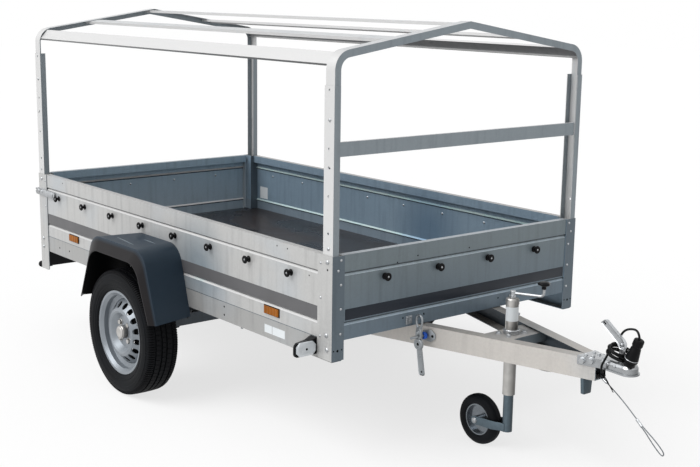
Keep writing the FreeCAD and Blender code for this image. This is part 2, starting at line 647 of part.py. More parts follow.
# Chassis rails: C channels that open inwards, between the corner posts.
def chassis_rail():
    body = new_body("chassis_rail")
    inner = "-(skin - rail_flange)"
    web = "-(skin - rail_sheet)"
    corners = [
        ("-skin", "rail_bottom"),
        (inner, "rail_bottom"),
        (inner, "rail_bottom + rail_sheet"),
        (web, "rail_bottom + rail_sheet"),
        (web, "deck - rail_sheet"),
        (inner, "deck - rail_sheet"),
        (inner, "deck"),
        ("-skin", "deck"),
    ]
    pad(body, "YZ", "post_sheet", "bed_length - 2 * post_sheet", corners)
    pair(body, "chassis_rail")


# Pressed side sheet: two beads and a folded rim. The section runs inwards from face.
def panel_section(face, inward, bottom="deck"):
    def at(depth):
        return "%s %s (%s)" % (face, inward, depth)
    beads = ["deck + lower_bead", "deck + upper_bead"]
    outer = [(at("0"), bottom)]
    inner = []
    for bead in beads:
        outer += [
            (at("0"), bead + " - bead_half"),
            (at("bead_depth"), bead),
            (at("0"), bead + " + bead_half"),
        ]
    outer += [
        (at("0"), "rim_top"),
        (at("rim_width"), "rim_top"),
        (at("rim_width"), "rim_top - rim_drop"),
        (at("rim_width - rim_lip"), "rim_top - rim_drop"),
        (at("rim_width - rim_lip"), "rim_top - rim_drop + panel_sheet"),
        (at("rim_width - panel_sheet"), "rim_top - rim_drop + panel_sheet"),
        (at("rim_width - panel_sheet"), "rim_top - panel_sheet"),
        (at("panel_sheet"), "rim_top - panel_sheet"),
    ]
    for bead in reversed(beads):
        inner += [
            (at("panel_sheet"), bead + " + bead_half"),
            (at("bead_depth + panel_sheet"), bead),
            (at("panel_sheet"), bead + " - bead_half"),
        ]
    inner.append((at("panel_sheet"), bottom))
    return outer + inner


def side_panel():
    body = new_body("side_panel")
    start = "post_sheet + post_box_length"
    pad(body, "YZ", start, "bed_length - 2 * (%s)" % start, panel_section("-skin", "+"))
    pair(body, "side_panel")


def front_panel():
    body = new_body("front_panel")
    face = "bed_length - post_sheet"
    pad(body, "XZ", "-box_inner", "2 * box_inner", panel_section(face, "-"))
    parts.append(body)


# Floor: one plywood board on the rails, notched round the corner boxes.
def floor_board():
    body = new_body("floor_board")
    rear = "bead_depth + panel_sheet + swing_gap"
    front = "bed_length - post_sheet - panel_sheet"
    side = "skin - panel_sheet"
    notch_rear = "post_sheet + post_box_length"
    notch_front = "bed_length - post_sheet - post_box_length"
    corners = [
        (rear, "-box_inner"),
        (notch_rear, "-box_inner"),
        (notch_rear, "-(%s)" % side),
        (notch_front, "-(%s)" % side),
        (notch_front, "-box_inner"),
        (front, "-box_inner"),
        (front, "box_inner"),
        (notch_front, "box_inner"),
        (notch_front, side),
        (notch_rear, side),
        (notch_rear, "box_inner"),
        (rear, "box_inner"),
    ]
    pad(body, "XY", "deck", "board_thick", corners)
    parts.append(body)


# Corner posts: an outer angle and an inner box that takes the foot of the tarpaulin frame.
def corner_post(label, end, inward, drop):
    body = new_body(label)
    def at(distance):
        return "%s %s (%s)" % (end, inward, distance)
    outer = [
        (at("0"), "-half_width"),
        (at("post_side_flange"), "-half_width"),
        (at("post_side_flange"), "-skin"),
        (at("post_sheet"), "-skin"),
        (at("post_sheet"), "-(half_width - post_end_flange)"),
        (at("0"), "-(half_width - post_end_flange)"),
    ]
    far = "post_sheet + post_box_length"
    inner = [
        (at(far), "-skin"),
        (at(far + " - post_box_sheet"), "-skin"),
        (at(far + " - post_box_sheet"), "-(box_inner + post_box_sheet)"),
        (at("post_sheet"), "-(box_inner + post_box_sheet)"),
        (at("post_sheet"), "-box_inner"),
        (at(far), "-box_inner"),
    ]
    pad(body, "XY", "deck - " + drop, "panel_height + " + drop, outer)
    round_corner(body, at("post_side_flange"), "deck - " + drop, "post_round")
    pad(body, "XY", "deck", "panel_height", inner)
    pair(body, label)


# Floor sills and cross members between the rails, behind the tilt pivot.
def cross_members():
    body = new_body("cross_members")
    half = "skin - rail_sheet"
    under = "deck - rail_sheet"
    for i in range(int(size("member_count"))):
        start = "member_first + %d * member_pitch" % i
        end = start + " + member_width"
        corners = [
            (start, under),
            (start, under + " - member_height"),
            (start + " + member_sheet", under + " - member_height"),
            (start + " + member_sheet", under + " - member_sheet"),
            (end + " - member_sheet", under + " - member_sheet"),
            (end + " - member_sheet", under + " - member_height"),
            (end, under + " - member_height"),
            (end, under),
        ]
        pad(body, "XZ", "-(%s)" % half, "2 * (%s)" % half, corners)
    rear = "post_sheet"
    half = "skin - rail_flange"
    rear_corners = [
        (rear, "deck"),
        (rear, "deck - sill_width"),
        (rear + " + sill_sheet", "deck - sill_width"),
        (rear + " + sill_sheet", "deck - sill_sheet"),
        (rear + " + sill_width", "deck - sill_sheet"),
        (rear + " + sill_width", "deck"),
    ]
    pad(body, "XZ", "-(%s)" % half, "2 * (%s)" % half, rear_corners)
    parts.append(body)


def front_sill():
    body = new_body("front_sill")
    front = "bed_length - post_sheet"
    half = "skin - rail_flange"
    front_corners = box(front + " - sill_width", "deck - sill_sheet", "sill_width", "sill_sheet")
    pad(body, "XZ", "-(%s)" % half, "2 * (%s)" % half, front_corners)
    parts.append(body)


# Light board between the rear posts, with a lamp at each end.
def rear_light_board():
    body = new_body("rear_light_board")
    start = "light_board_station"
    bottom = "rail_bottom - light_board_height"
    corners = [
        (start, bottom),
        (start + " + light_board_sheet", bottom),
        (start + " + light_board_sheet", "rail_bottom - light_board_sheet"),
        (start + " + sill_width", "rail_bottom - light_board_sheet"),
        (start + " + sill_width", "rail_bottom"),
        (start, "rail_bottom"),
    ]
    pad(body, "XZ", "-skin", "2 * skin", corners)
    parts.append(body)


def rear_lamps():
    body = new_body("rear_lamps_half")
    bottom = "rail_bottom - light_board_height + lamp_rise"
    corners = box("-lamp_outer", bottom, "lamp_width", "lamp_height")
    pad(body, "YZ", "lamp_setback", "light_board_station - lamp_setback", corners)
    both_sides(body, "rear_lamps")


def rear_buffers():
    body = new_body("rear_buffers_half")
    middle = "-(half_width - buffer_radius)"
    round_pad(body, "YZ", "-rear_reach", "rear_reach", middle, "buffer_height", "buffer_radius")
    both_sides(body, "rear_buffers")


# Tailgate: a panel like the front one, hung on two hinges at its lower edge.
def tailgate_panel():
    body = new_body("tailgate_panel")
    bottom = "deck + swing_gap"
    pad(body, "XZ", "-tailgate_half", "2 * tailgate_half", panel_section("0", "+", bottom))
    board_top = "deck + board_thick + swing_gap"
    fold = [
        ("0", bottom),
        ("bead_depth + panel_sheet", bottom),
        ("bead_depth + panel_sheet", board_top),
        ("rim_width", board_top),
        ("rim_width", "rim_top"),
        ("0", "rim_top"),
    ]
    for start in ("-tailgate_half", "tailgate_half - panel_sheet"):
        pad(body, "XZ", start, "panel_sheet", fold)
    parts.append(body)


def tailgate_hinges():
    body = new_body("tailgate_hinges_half")
    start = "-(hinge_place + hinge_length / 2)"
    sketch = add_sketch(body, "XZ", start + " + hinge_length")
    ring(sketch, "-hinge_setback", "hinge_height", "hinge_radius")
    ring(sketch, "-hinge_setback", "hinge_height", "hinge_pin_radius + pin_play")
    barrel = body.newObject("PartDesign::Pad", "TailgateBarrel")
    barrel.Profile = sketch
    barrel.setExpression("Length", bound("hinge_length"))
    body.Tip = barrel
    leaf = box("-hinge_leaf", "hinge_height", "hinge_leaf", "lower_bead - hinge_rise - 2 * bead_half")
    pad(body, "XZ", start, "hinge_length", leaf)
    both_sides(body, "tailgate_hinges")


def tailgate_hinge_pins():
    body = new_body("tailgate_hinge_pins_half")
    reach = "(hinge_ear + hinge_ear_gap)"
    start = "-(hinge_place + hinge_length / 2 + %s)" % reach
    length = "hinge_length + 2 * " + reach
    round_pad(body, "XZ", start, length, "-hinge_setback", "hinge_height", "hinge_pin_radius")
    for shift in ("-" + reach, "hinge_length + hinge_ear_gap"):
        ear = [
            ("post_sheet", "deck - sill_width"),
            ("post_sheet", "deck"),
            ("0", "deck"),
            ("-(hinge_setback - hinge_pin_radius)", "hinge_height"),
            ("-(hinge_setback + hinge_pin_radius)", "hinge_height"),
            ("-(hinge_setback + hinge_pin_radius)", "deck"),
            ("0", "deck - sill_width"),
        ]
        pad(body, "XZ", "-(hinge_place + hinge_length / 2) + " + shift, "hinge_ear", ear)
    both_sides(body, "tailgate_hinge_pins")


def tailgate_latches():
    body = new_body("tailgate_latches_half")
    height = "deck + gate_latch_rise"
    outer = "-(half_width + gate_latch_depth)"
    lever = box(outer, height, "gate_latch_depth", "gate_latch_height")
    pad(body, "YZ", "-gate_hook_reach", "gate_latch_length", lever)
    hook = box(outer, height, "gate_latch_depth + gate_hook_depth", "gate_latch_height")
    pad(body, "YZ", "-gate_hook_reach", "gate_hook_sheet", hook)
    both_sides(body, "tailgate_latches")


# Axle: square tube across the rails, trailing arms and stub axles.
def axle_beam():
    body = new_body("axle_beam")
    centre = "axle_station + axle_lead"
    low = "axle_tube_height - axle_tube / 2"
    tube = box(centre + " - axle_tube / 2", low, "axle_tube", "axle_tube")
    pad(body, "XZ", "-axle_tube_half", "2 * axle_tube_half", tube)
    top = "axle_tube_height + axle_tube / 2"
    for side in ("-1", "1"):
        middle = "%s * (skin - rail_flange / 2)" % side
        bracket = box(centre + " - axle_bracket / 2", top, "axle_bracket", "rail_bottom - (%s)" % top)
        pad(body, "XZ", middle + " - axle_bracket_width / 2", "axle_bracket_width", bracket)
        inner = "%s * (axle_tube_half + swing_arm_thick / 2) - swing_arm_thick / 2" % side
        arm = [
            (centre + " + swing_arm_end", "axle_tube_height - swing_arm_end", "swing_arm_round"),
            (centre + " + swing_arm_end", "axle_tube_height + swing_arm_end", "swing_arm_round"),
            ("axle_station - swing_arm_end", "tyre_radius + swing_arm_end", "swing_arm_round"),
            ("axle_station - swing_arm_end", "tyre_radius - swing_arm_end", "swing_arm_round"),
        ]
        pad(body, "XZ", inner, "swing_arm_thick", arm)
        reach = "wheel_track + hub_face - spindle_setback - axle_tube_half"
        base = "axle_tube_half" if side == "1" else "-(axle_tube_half + %s)" % reach
        round_pad(body, "XZ", base, reach, "axle_station", "tyre_radius", "spindle_radius")
    parts.append(body)


# Wheels. Their outlines are (radius, distance outwards from the wheel centre).
def wheel_body(label):
    body = new_body(label)
    place(body, "rear_face + axle_station", "-wheel_track", "tyre_radius")
    return body


def wheel_tyre():
    body = wheel_body("wheel_tyre")
    half = "tyre_width / 2"
    edge = "rim_width_wheel / 2"
    bead = "rim_well + rim_seat_rise + seat_gap"
    corners = [
        (bead, "-%s + rim_hump + tyre_flange_setback" % edge),
        ("rim_radius - rim_curl", "-%s + tyre_flange_setback" % edge),
        ("rim_radius + tyre_flange_play", "-%s + tyre_flange_setback" % edge),
        ("rim_radius + tyre_foot_rise", "-(%s) + tyre_foot_setback" % half),
        ("rim_radius + tyre_belly_rise", "-(%s)" % half, "tyre_belly_round"),
        ("tyre_radius - tyre_crown", "-(%s) + tyre_shoulder" % half, "tyre_shoulder_round"),
        ("tyre_radius", "0", "tread_round"),
        ("tyre_radius - tyre_crown", "%s - tyre_shoulder" % half, "tyre_shoulder_round"),
        ("rim_radius + tyre_belly_rise", half, "tyre_belly_round"),
        ("rim_radius + tyre_foot_rise", "%s - tyre_foot_setback" % half),
        ("rim_radius + tyre_flange_play", "%s - tyre_flange_setback" % edge),
        ("rim_radius - rim_curl", "%s - tyre_flange_setback" % edge),
        (bead, "%s - rim_hump - tyre_flange_setback" % edge),
    ]
    revolve(body, corners)
    pair(body, "wheel_tyre")


def wheel_rim():
    body = wheel_body("wheel_rim")
    half = "rim_width_wheel / 2"
    bead = "rim_well + rim_seat_rise"
    barrel = [
        ("rim_radius", "-(%s)" % half),
        ("rim_radius", "-(%s) + rim_plate" % half),
        ("rim_radius - rim_curl", "-(%s) + rim_plate" % half),
        (bead, "-(%s) + rim_plate + rim_hump" % half),
        (bead, "-rim_seat_half"),
        ("rim_well", "-rim_well_half"),
        ("rim_well", "rim_well_half"),
        (bead, "rim_seat_half"),
        (bead, "%s - rim_plate - rim_hump" % half),
        ("rim_radius - rim_curl", "%s - rim_plate" % half),
        ("rim_radius", "%s - rim_plate" % half),
        ("rim_radius", half),
        ("rim_radius - rim_edge", half),
        ("rim_radius - rim_curl - rim_edge", "%s - rim_edge / 2" % half),
        (bead + " - rim_plate", "%s - rim_hump" % half),
        (bead + " - rim_plate", "rim_seat_half + rim_slope"),
        ("rim_well - rim_plate", "rim_well_half + rim_slope"),
        ("rim_well - rim_plate", "-(rim_well_half + rim_slope)"),
        (bead + " - rim_plate", "-(rim_seat_half + rim_slope)"),
        (bead + " - rim_plate", "-(%s) + rim_hump" % half),
        ("rim_radius - rim_curl - rim_edge", "-(%s) + rim_edge / 2" % half),
        ("rim_radius - rim_edge", "-(%s)" % half),
    ]
    revolve(body, barrel)
    front = [
        ("rim_well - rim_plate + seat_gap", "hub_face - disc_setback"),
        ("rim_well - disc_shoulder", "hub_face - disc_shoulder_drop"),
        ("disc_ring_outer", "hub_face + disc_ring_outer_rise"),
        ("disc_ring", "hub_face + disc_ring_rise"),
        ("disc_ring_inner", "hub_face + disc_ring_inner_rise"),
        ("disc_seat", "hub_face + rim_plate"),
        ("cap_radius + disc_play", "hub_face + rim_plate"),
    ]
    back = [(radius, along + " - rim_plate") for radius, along in reversed(front)]
    revolve(body, front + back)
    cut = "hub_face - disc_cut"
    circled(body, "Pocket", cut, "2 * disc_cut", "vent_circle", "vent_radius", "vent_count",
            "vent_first")
    circled(body, "Pocket", cut, "2 * disc_cut", "bolt_circle", "stud_radius + seat_gap", "bolt_count",
            "bolt_first")
    pair_turned(body, "wheel_rim")


def wheel_hub():
    body = wheel_body("wheel_hub")
    bore = "spindle_radius + pin_play"
    corners = [
        (bore, "-hub_back"),
        ("hub_barrel", "-hub_back"),
        ("hub_barrel", "hub_face - hub_flange"),
        ("hub_radius", "hub_face - hub_flange"),
        ("hub_radius", "hub_face"),
        ("cap_radius", "hub_face"),
        ("cap_radius", "cap_reach - cap_dome", "cap_round"),
        ("cap_crown", "cap_reach"),
        ("0", "cap_reach"),
        ("0", "hub_face - spindle_setback + spindle_play"),
        (bore, "hub_face - spindle_setback + spindle_play"),
    ]
    revolve(body, corners)
    circled(body, "Pad", "hub_face", "rim_plate + bolt_head", "bolt_circle", "stud_radius", "bolt_count",
            "bolt_first")
    circled(body, "Pad", "hub_face + rim_plate", "bolt_head", "bolt_circle", "bolt_radius", "bolt_count",
            "bolt_first")
    pair_turned(body, "wheel_hub")


def circled(body, kind, start, length, circle, radius, count, first):
    # pads or pockets spaced evenly round the body's Y axis, from the angle first
    sketch = add_sketch(body, "XZ", "%s + %s" % (start, length))
    ring(sketch, "%s * cos(%s)" % (circle, first), "%s * sin(%s)" % (circle, first), radius)
    feature = body.newObject("PartDesign::" + kind, body.Name + kind)
    feature.Profile = sketch
    if kind == "Pocket":
        feature.Reversed = True
    feature.setExpression("Length", bound(length))
    pattern = body.newObject("PartDesign::PolarPattern", body.Name + "Circle")
    pattern.Originals = [feature]
    pattern.Axis = (sketch, ["N_Axis"])
    pattern.Angle = 360
    pattern.setExpression("Occurrences", bound(count))
    body.Tip = pattern


def pair_turned(source, stem):
    # the outlines point to +Y, so the left wheel comes first and the right one is its mirror image
    source.Label = stem + "_left"
    place(source, "rear_face + axle_station", "wheel_track", "tyre_radius")
    parts.append(source)
    mirrored(source, stem + "_right")


# Fenders: a plastic shell with a flared lip round the arch.
def fender_section(foot, shoulder, bottom, top, inset):
    return [
        ("axle_station - (%s) + (%s)" % (foot, inset), bottom),
        ("axle_station + (%s) - (%s)" % (foot, inset), bottom),
        ("axle_station + (%s) - (%s)" % (shoulder, inset), "%s - (%s)" % (top, inset), "fender_round"),
        ("axle_station - (%s) + (%s)" % (shoulder, inset), "%s - (%s)" % (top, inset), "fender_round"),
    ]


def fender():
    body = new_body("fender")
    stations = ["skin", "fender_outer", "fender_lip_reach"]
    shapes = [
        ("fender_inner_foot", "fender_inner_shoulder", "fender_top"),
        ("fender_foot", "fender_shoulder", "fender_top"),
        ("fender_lip_foot", "fender_lip_shoulder", "fender_lip_top"),
    ]
    for inset, kind in (("0", "AdditiveLoft"), ("fender_sheet", "SubtractiveLoft")):
        bottom = "fender_bottom" if inset == "0" else "fender_bottom - fender_sheet"
        sketches = []
        for station, (foot, shoulder, top) in zip(stations, shapes):
            sketch = add_sketch(body, "XZ", "-" + station)
            outline(sketch, fender_section(foot, shoulder, bottom, top, inset))
            sketches.append(sketch)
        for first, last in ((0, 1), (1, 2)):
            loft = body.newObject("PartDesign::" + kind, "Fender" + kind)
            loft.Profile = sketches[first]
            loft.Sections = [sketches[last]]
            loft.Ruled = True
            body.Tip = loft
    pair(body, "fender")


# Tarpaulin frame: lower posts, two hoops, five roof rails and a front crossbar.
def frame_post(label, end, inward):
    body = new_body(label)
    def at(distance):
        return "%s %s (post_sheet + %s)" % (end, inward, distance)
    outer = "-skin"
    inner = "-(skin - sleeve_width)"
    corners = [
        (at("0"), outer),
        (at("sleeve_length"), outer),
        (at("sleeve_length"), inner),
        (at("sleeve_length - sleeve_sheet"), inner),
        (at("sleeve_length - sleeve_sheet"), "-hoop_outer"),
        (at("sleeve_sheet"), "-hoop_outer"),
        (at("sleeve_sheet"), inner),
        (at("0"), inner),
    ]
    pad(body, "XY", "sleeve_bottom", "sleeve_top - sleeve_bottom", corners)
    middle = at("sleeve_length / 2")
    for depth in ("post_hole_top", "post_hole_clamp", "post_hole_spare", "post_hole_low", "post_hole_tie"):
        height = "sleeve_top - " + depth
        round_pad(body, "XZ", outer, "sleeve_sheet", middle, height, "post_hole_radius", cut=True)
    return body


def frame_posts():
    whole = both_sides(frame_post("frame_post_front", "bed_length", "-"), "frame_posts")
    rear = frame_post("frame_post_rear", "0", "+")
    twin = doc.addObject("Part::Mirroring", "frame_post_rear_twin")
    twin.Source = rear
    twin.Normal = FreeCAD.Vector(0, 1, 0)
    whole.Links = whole.Links + [rear, twin]


def hoop_contour(depth, bend):
    # corners of the hoop on the right, over the ridge and down on the left, inset by depth
    rise = "(%s) / cos(roof_slope)" % depth
    edge = "hoop_outer - (%s)" % depth
    eave = "hoop_ridge - (%s) * tan(roof_slope) - %s" % (edge, rise)
    return [
        ("-(%s)" % edge, "hoop_bottom"),
        ("-(%s)" % edge, eave, bend),
        ("0", "hoop_ridge - " + rise),
        (edge, eave, bend),
        (edge, "hoop_bottom"),
    ]


def hoop(label, web_start, flange_start):
    body = new_body(label)
    outer = hoop_contour("0", "hoop_bend")
    web = outer + hoop_contour("hoop_web", "hoop_bend - hoop_web")[::-1]
    flange = outer + hoop_contour("hoop_sheet", "hoop_bend - hoop_sheet")[::-1]
    pad(body, "YZ", web_start, "hoop_sheet", web)
    pad(body, "YZ", flange_start, "hoop_flange", flange)
    parts.append(body)


def turned(points, y, z, angle):
    # moves (across, up) points to (y, z) and turns them by angle degrees
    corners = []
    for across, up in points:
        corners.append((
            "%s + (%s) * cos(%s) - (%s) * sin(%s)" % (y, across, angle, up, angle),
            "%s + (%s) * sin(%s) + (%s) * cos(%s)" % (z, across, angle, up, angle),
        ))
    return corners


def roof_rails():
    body = new_body("roof_rails")
    half = "roof_rail_width / 2"
    channel = [
        ("-" + half, "0"),
        (half, "0"),
        (half, "-roof_rail_depth"),
        (half + " - roof_rail_sheet", "-roof_rail_depth"),
        (half + " - roof_rail_sheet", "-roof_rail_sheet"),
        ("-%s + roof_rail_sheet" % half, "-roof_rail_sheet"),
        ("-%s + roof_rail_sheet" % half, "-roof_rail_depth"),
        ("-" + half, "-roof_rail_depth"),
    ]
    under = "hoop_ridge - (hoop_sheet + seat_gap) / cos(roof_slope)"
    middle = under + " - roof_rail_middle * tan(roof_slope)"
    ridge = under + " - roof_rail_width / 2 * tan(roof_slope)"
    # the eave rails lie inside the bends, square to the line through the bend's centre
    lean = "(90 + roof_slope) / 2"
    bend_y = "hoop_outer - hoop_bend"
    bend_z = "hoop_eave - hoop_bend * tan(45 - roof_slope / 2)"
    reach = "sqrt((hoop_bend - hoop_sheet - seat_gap) ^ 2 - (roof_rail_width / 2) ^ 2)"
    eave_y = "(%s + %s * sin(%s))" % (bend_y, reach, lean)
    eave_z = "%s + %s * cos(%s)" % (bend_z, reach, lean)
    outlines = [
        turned(channel, "0", ridge, "0"),
        turned(channel, "-roof_rail_middle", middle, "roof_slope"),
        turned(channel, "roof_rail_middle", middle, "-roof_slope"),
        turned(channel, "-" + eave_y, eave_z, lean),
        turned(channel, eave_y, eave_z, "-" + lean),
    ]
    start = "post_sheet + sleeve_sheet + hoop_sheet"
    pad(body, "YZ", start, "bed_length - 2 * (%s)" % start, *outlines)
    parts.append(body)


def front_crossbar():
    body = new_body("front_crossbar")
    front = "bed_length - post_sheet - sleeve_sheet - hoop_sheet"
    top = "crossbar_bottom + crossbar_height"
    corners = [
        (front, "crossbar_bottom"),
        (front, top),
        (front + " - crossbar_depth", top),
        (front + " - crossbar_depth", top + " - crossbar_sheet"),
        (front + " - crossbar_sheet", top + " - crossbar_sheet"),
        (front + " - crossbar_sheet", "crossbar_bottom + crossbar_sheet"),
        (front + " - crossbar_depth", "crossbar_bottom + crossbar_sheet"),
        (front + " - crossbar_depth", "crossbar_bottom"),
    ]
    half = "hoop_outer - hoop_sheet"
    pad(body, "XZ", "-(%s)" % half, "2 * (%s)" % half, corners)
    parts.append(body)


# Tilt pivot: a cross tube on the drawbar, held in plates inside the rails.
def pivot_plates():
    body = new_body("pivot_plates_half")
    length = "pivot_plate_length"
    height = "rail_height - 2 * rail_sheet"
    plate = box("pivot_station - %s / 2" % length, "rail_bottom + rail_sheet", length, height)
    start = "-(bearing_half + pivot_plate)"
    pad(body, "XZ", start, "pivot_plate", plate)
    bore = "pivot_pin_radius + pin_play"
    round_pad(body, "XZ", start, "pivot_plate", "pivot_station", "pivot_height", bore, cut=True)
    both_sides(body, "pivot_plates")


def drawbar_pivot():
    body = new_body("drawbar_pivot")
    half = "bearing_half - pivot_tube_gap"
    pin = "bearing_half + pivot_plate + pivot_pin_reach"
    for reach, radius in ((half, "pivot_radius"), (pin, "pivot_pin_radius")):
        round_pad(body, "XZ", "-(%s)" % reach, "2 * (%s)" % reach, "pivot_station", "pivot_height", radius)
    parts.append(body)


# Drawbar arms: C channels that open inwards and meet at the coupling.
def arm_face(station, inset="0"):
    return "-(arm_tip_half + (arm_tip - (%s)) * arm_slope) + (%s)" % (station, inset)


def drawbar_arm():
    body = new_body("drawbar_arm")
    web = [
        ("arm_rear", arm_face("arm_rear")),
        ("arm_tip", arm_face("arm_tip")),
        ("arm_tip", arm_face("arm_tip", "arm_web_y")),
        ("arm_rear", arm_face("arm_rear", "arm_web_y")),
    ]
    meeting = "arm_apex - (arm_flange_y + arm_sheet / 2) / arm_slope"
    flange = [
        ("arm_rear", arm_face("arm_rear")),
        ("arm_tip", arm_face("arm_tip")),
        ("arm_tip", "-arm_sheet / 2"),
        (meeting, "-arm_sheet / 2"),
        ("arm_rear", arm_face("arm_rear", "arm_flange_y")),
    ]
    pad(body, "XY", "arm_bottom", "arm_height", web)
    pad(body, "XY", "arm_bottom", "arm_sheet", flange)
    pad(body, "XY", "arm_top - arm_sheet", "arm_sheet", flange)
    pair(body, "drawbar_arm")


def jockey_cross_plate():
    body = new_body("jockey_cross_plate")
    def outline_between(rear, front):
        return [
            (rear, arm_face(rear, "arm_web_y")),
            (front, arm_face(front, "arm_web_y")),
            (front, "-(%s)" % arm_face(front, "arm_web_y")),
            (rear, "-(%s)" % arm_face(rear, "arm_web_y")),
        ]
    pad(body, "XY", "plate_top - plate_sheet", "plate_sheet", outline_between("plate_rear", "plate_front"))
    flanges = [("plate_rear", "plate_rear + plate_sheet"), ("plate_front - plate_sheet", "plate_front")]
    for rear, front in flanges:
        pad(body, "XY", "plate_top - plate_drop", "plate_drop", outline_between(rear, front))
    round_pad(body, "XY", "plate_top - plate_sheet", "plate_sheet", "jockey_station", "0",
              "jockey_radius + seat_gap", cut=True)
    parts.append(body)


# Coupling: a pressed saddle over the arms' tips, a neck that is open below and a ball socket.
def coupling_head():
    body = new_body("coupling_head")
    def saddle(front, wall):
        return [
            ("coupling_rear", arm_face("coupling_rear", "-(%s)" % wall)),
            (front, arm_face(front, "-(%s)" % wall)),
            (front, "-(%s)" % arm_face(front, "-(%s)" % wall)),
            ("coupling_rear", "-(%s)" % arm_face("coupling_rear", "-(%s)" % wall)),
        ]
    top = "arm_top + coupling_plate"
    pad(body, "XY", "coupling_bottom", "%s - coupling_bottom" % top, saddle("neck_station", "coupling_plate"))
    pocket(body, "XY", "arm_bottom", "arm_height", saddle("arm_tip", "0"))
    radius = "(ball_radius + socket_wall)"
    crown = "ball_height + " + radius
    lip = "ball_height - lip_drop"
    def neck(rear, inset):
        nose = "ball_station + %s - (%s)" % (radius, inset)
        side = "%s - (%s)" % (radius, inset)
        return [
            (rear, "-(neck_half - (%s))" % inset),
            ("ball_station", "-(%s)" % side),
            (nose, "-(%s)" % side, side + " - nose_flat"),
            (nose, side, side + " - nose_flat"),
            ("ball_station", side),
            (rear, "neck_half - (%s)" % inset),
        ]
    shoulder = "(%s - nose_round)" % crown
    pad(body, "XY", lip, "%s - (%s)" % (shoulder, lip), neck("neck_station - coupling_plate", "0"))
    sections = []
    steps = [(shoulder, "0"), (crown + " - nose_round / 3", "nose_round / 3"), (crown, "nose_round")]
    for height, inset in steps:
        sketch = add_sketch(body, "XY", height)
        outline(sketch, neck("neck_station - coupling_plate", inset))
        sections.append(sketch)
    for first, last in zip(sections, sections[1:]):
        rounding = body.newObject("PartDesign::AdditiveLoft", "CouplingRound")
        rounding.Profile = first
        rounding.Sections = [last]
        rounding.Ruled = True
        body.Tip = rounding
    pad(body, "XY", lip, "nose_lip_height", neck("neck_station", "-nose_lip"))
    hollow = [
        ("arm_tip", "-(neck_half - coupling_plate)"),
        ("ball_station - ball_radius - socket_wall", "-(neck_half - coupling_plate)"),
        ("ball_station - ball_radius - socket_wall", "neck_half - coupling_plate"),
        ("arm_tip", "neck_half - coupling_plate"),
    ]
    pocket(body, "XY", "coupling_bottom", "%s - coupling_plate - coupling_bottom" % top, hollow)
    socket = add_sketch(body, "XZ")
    outline(socket, [
        ("ball_station", "ball_height - socket_drop"),
        ("ball_station + ball_radius", "ball_height - socket_drop"),
        ("ball_station + ball_radius", "ball_height + ball_radius", "ball_radius - seat_gap"),
        ("ball_station", "ball_height + ball_radius"),
    ])
    centre_line = socket.addGeometry(Part.LineSegment(
        FreeCAD.Vector(size("ball_station"), 0, 0),
        FreeCAD.Vector(size("ball_station"), size("ball_height"), 0)), True)
    fix_point(socket, centre_line, 1, "ball_station", "0")
    fix_point(socket, centre_line, 2, "ball_station", "ball_height")
    groove = body.newObject("PartDesign::Groove", "BallSocket")
    groove.Profile = socket
    groove.ReferenceAxis = (socket, ["Axis0"])
    groove.Angle = 360
    body.Tip = groove
    parts.append(body)


def coupling_handle():
    body = new_body("coupling_handle")
    top = "ball_height + ball_radius + socket_wall"
    bend = top + " + handle_rise"
    foot = [
        ("ball_station - handle_foot_back", top),
        ("ball_station - handle_foot_front", top),
        ("ball_station - handle_bend_front", bend),
        ("ball_station - handle_bend_back", bend),
    ]
    pad(body, "XZ", "-handle_foot / 2", "handle_foot", foot)
    arm = [
        ("ball_station - handle_heel_back", bend + " - handle_heel"),
        ("ball_station - handle_heel_front", bend + " - handle_heel"),
        ("ball_station - handle_heel_front", bend + " + handle_knee_rise", "handle_knee_round"),
        ("ball_station - handle_tip_back", bend + " + handle_tip_rise", "handle_round"),
        ("ball_station - handle_end_back", bend + " + handle_end_rise", "handle_round"),
        ("ball_station - handle_crook_back", bend + " + handle_crook_rise", "handle_crook_round"),
    ]
    pad(body, "XZ", "-handle_width / 2", "handle_width", arm)
    parts.append(body)


def drawbar_skid():
    body = new_body("drawbar_skid")
    rear = "skid_front - skid_length"
    corners = [
        (rear, "-skid_width / 2"),
        ("skid_front", "-skid_width / 2"),
        ("skid_front", "skid_width / 2"),
        (rear, "skid_width / 2"),
        (rear, "skid_width / 2 - skid_sheet"),
        ("skid_front - skid_sheet", "skid_width / 2 - skid_sheet"),
        ("skid_front - skid_sheet", "-(skid_width / 2 - skid_sheet)"),
        (rear, "-(skid_width / 2 - skid_sheet)"),
    ]
    pad(body, "XY", "skid_bottom", "arm_bottom - skid_bottom", corners)
    parts.append(body)


# Jockey wheel.
def jockey_part(label):
    body = new_body(label)
    place(body, "rear_face + jockey_station")
    return body


def jockey_outer_tube():
    body = jockey_part("jockey_outer_tube")
    corners = [
        ("jockey_bore", "jockey_bottom"),
        ("jockey_radius", "jockey_bottom"),
        ("jockey_radius", "jockey_top"),
        ("jockey_radius + jockey_cap_wall", "jockey_top"),
        ("jockey_radius + jockey_cap_wall", "jockey_top + jockey_cap", "jockey_cap_round"),
        ("0", "jockey_top + jockey_cap"),
        ("0", "jockey_top - jockey_cap_plug"),
        ("jockey_bore", "jockey_top - jockey_cap_plug"),
    ]
    revolve(body, corners, "XZ")
    parts.append(body)


def jockey_nut():
    body = jockey_part("jockey_nut")
    round_pad(body, "XY", "jockey_inner_top + seat_gap", "nut_height", "0", "0", "jockey_bore - seat_gap")
    parts.append(body)


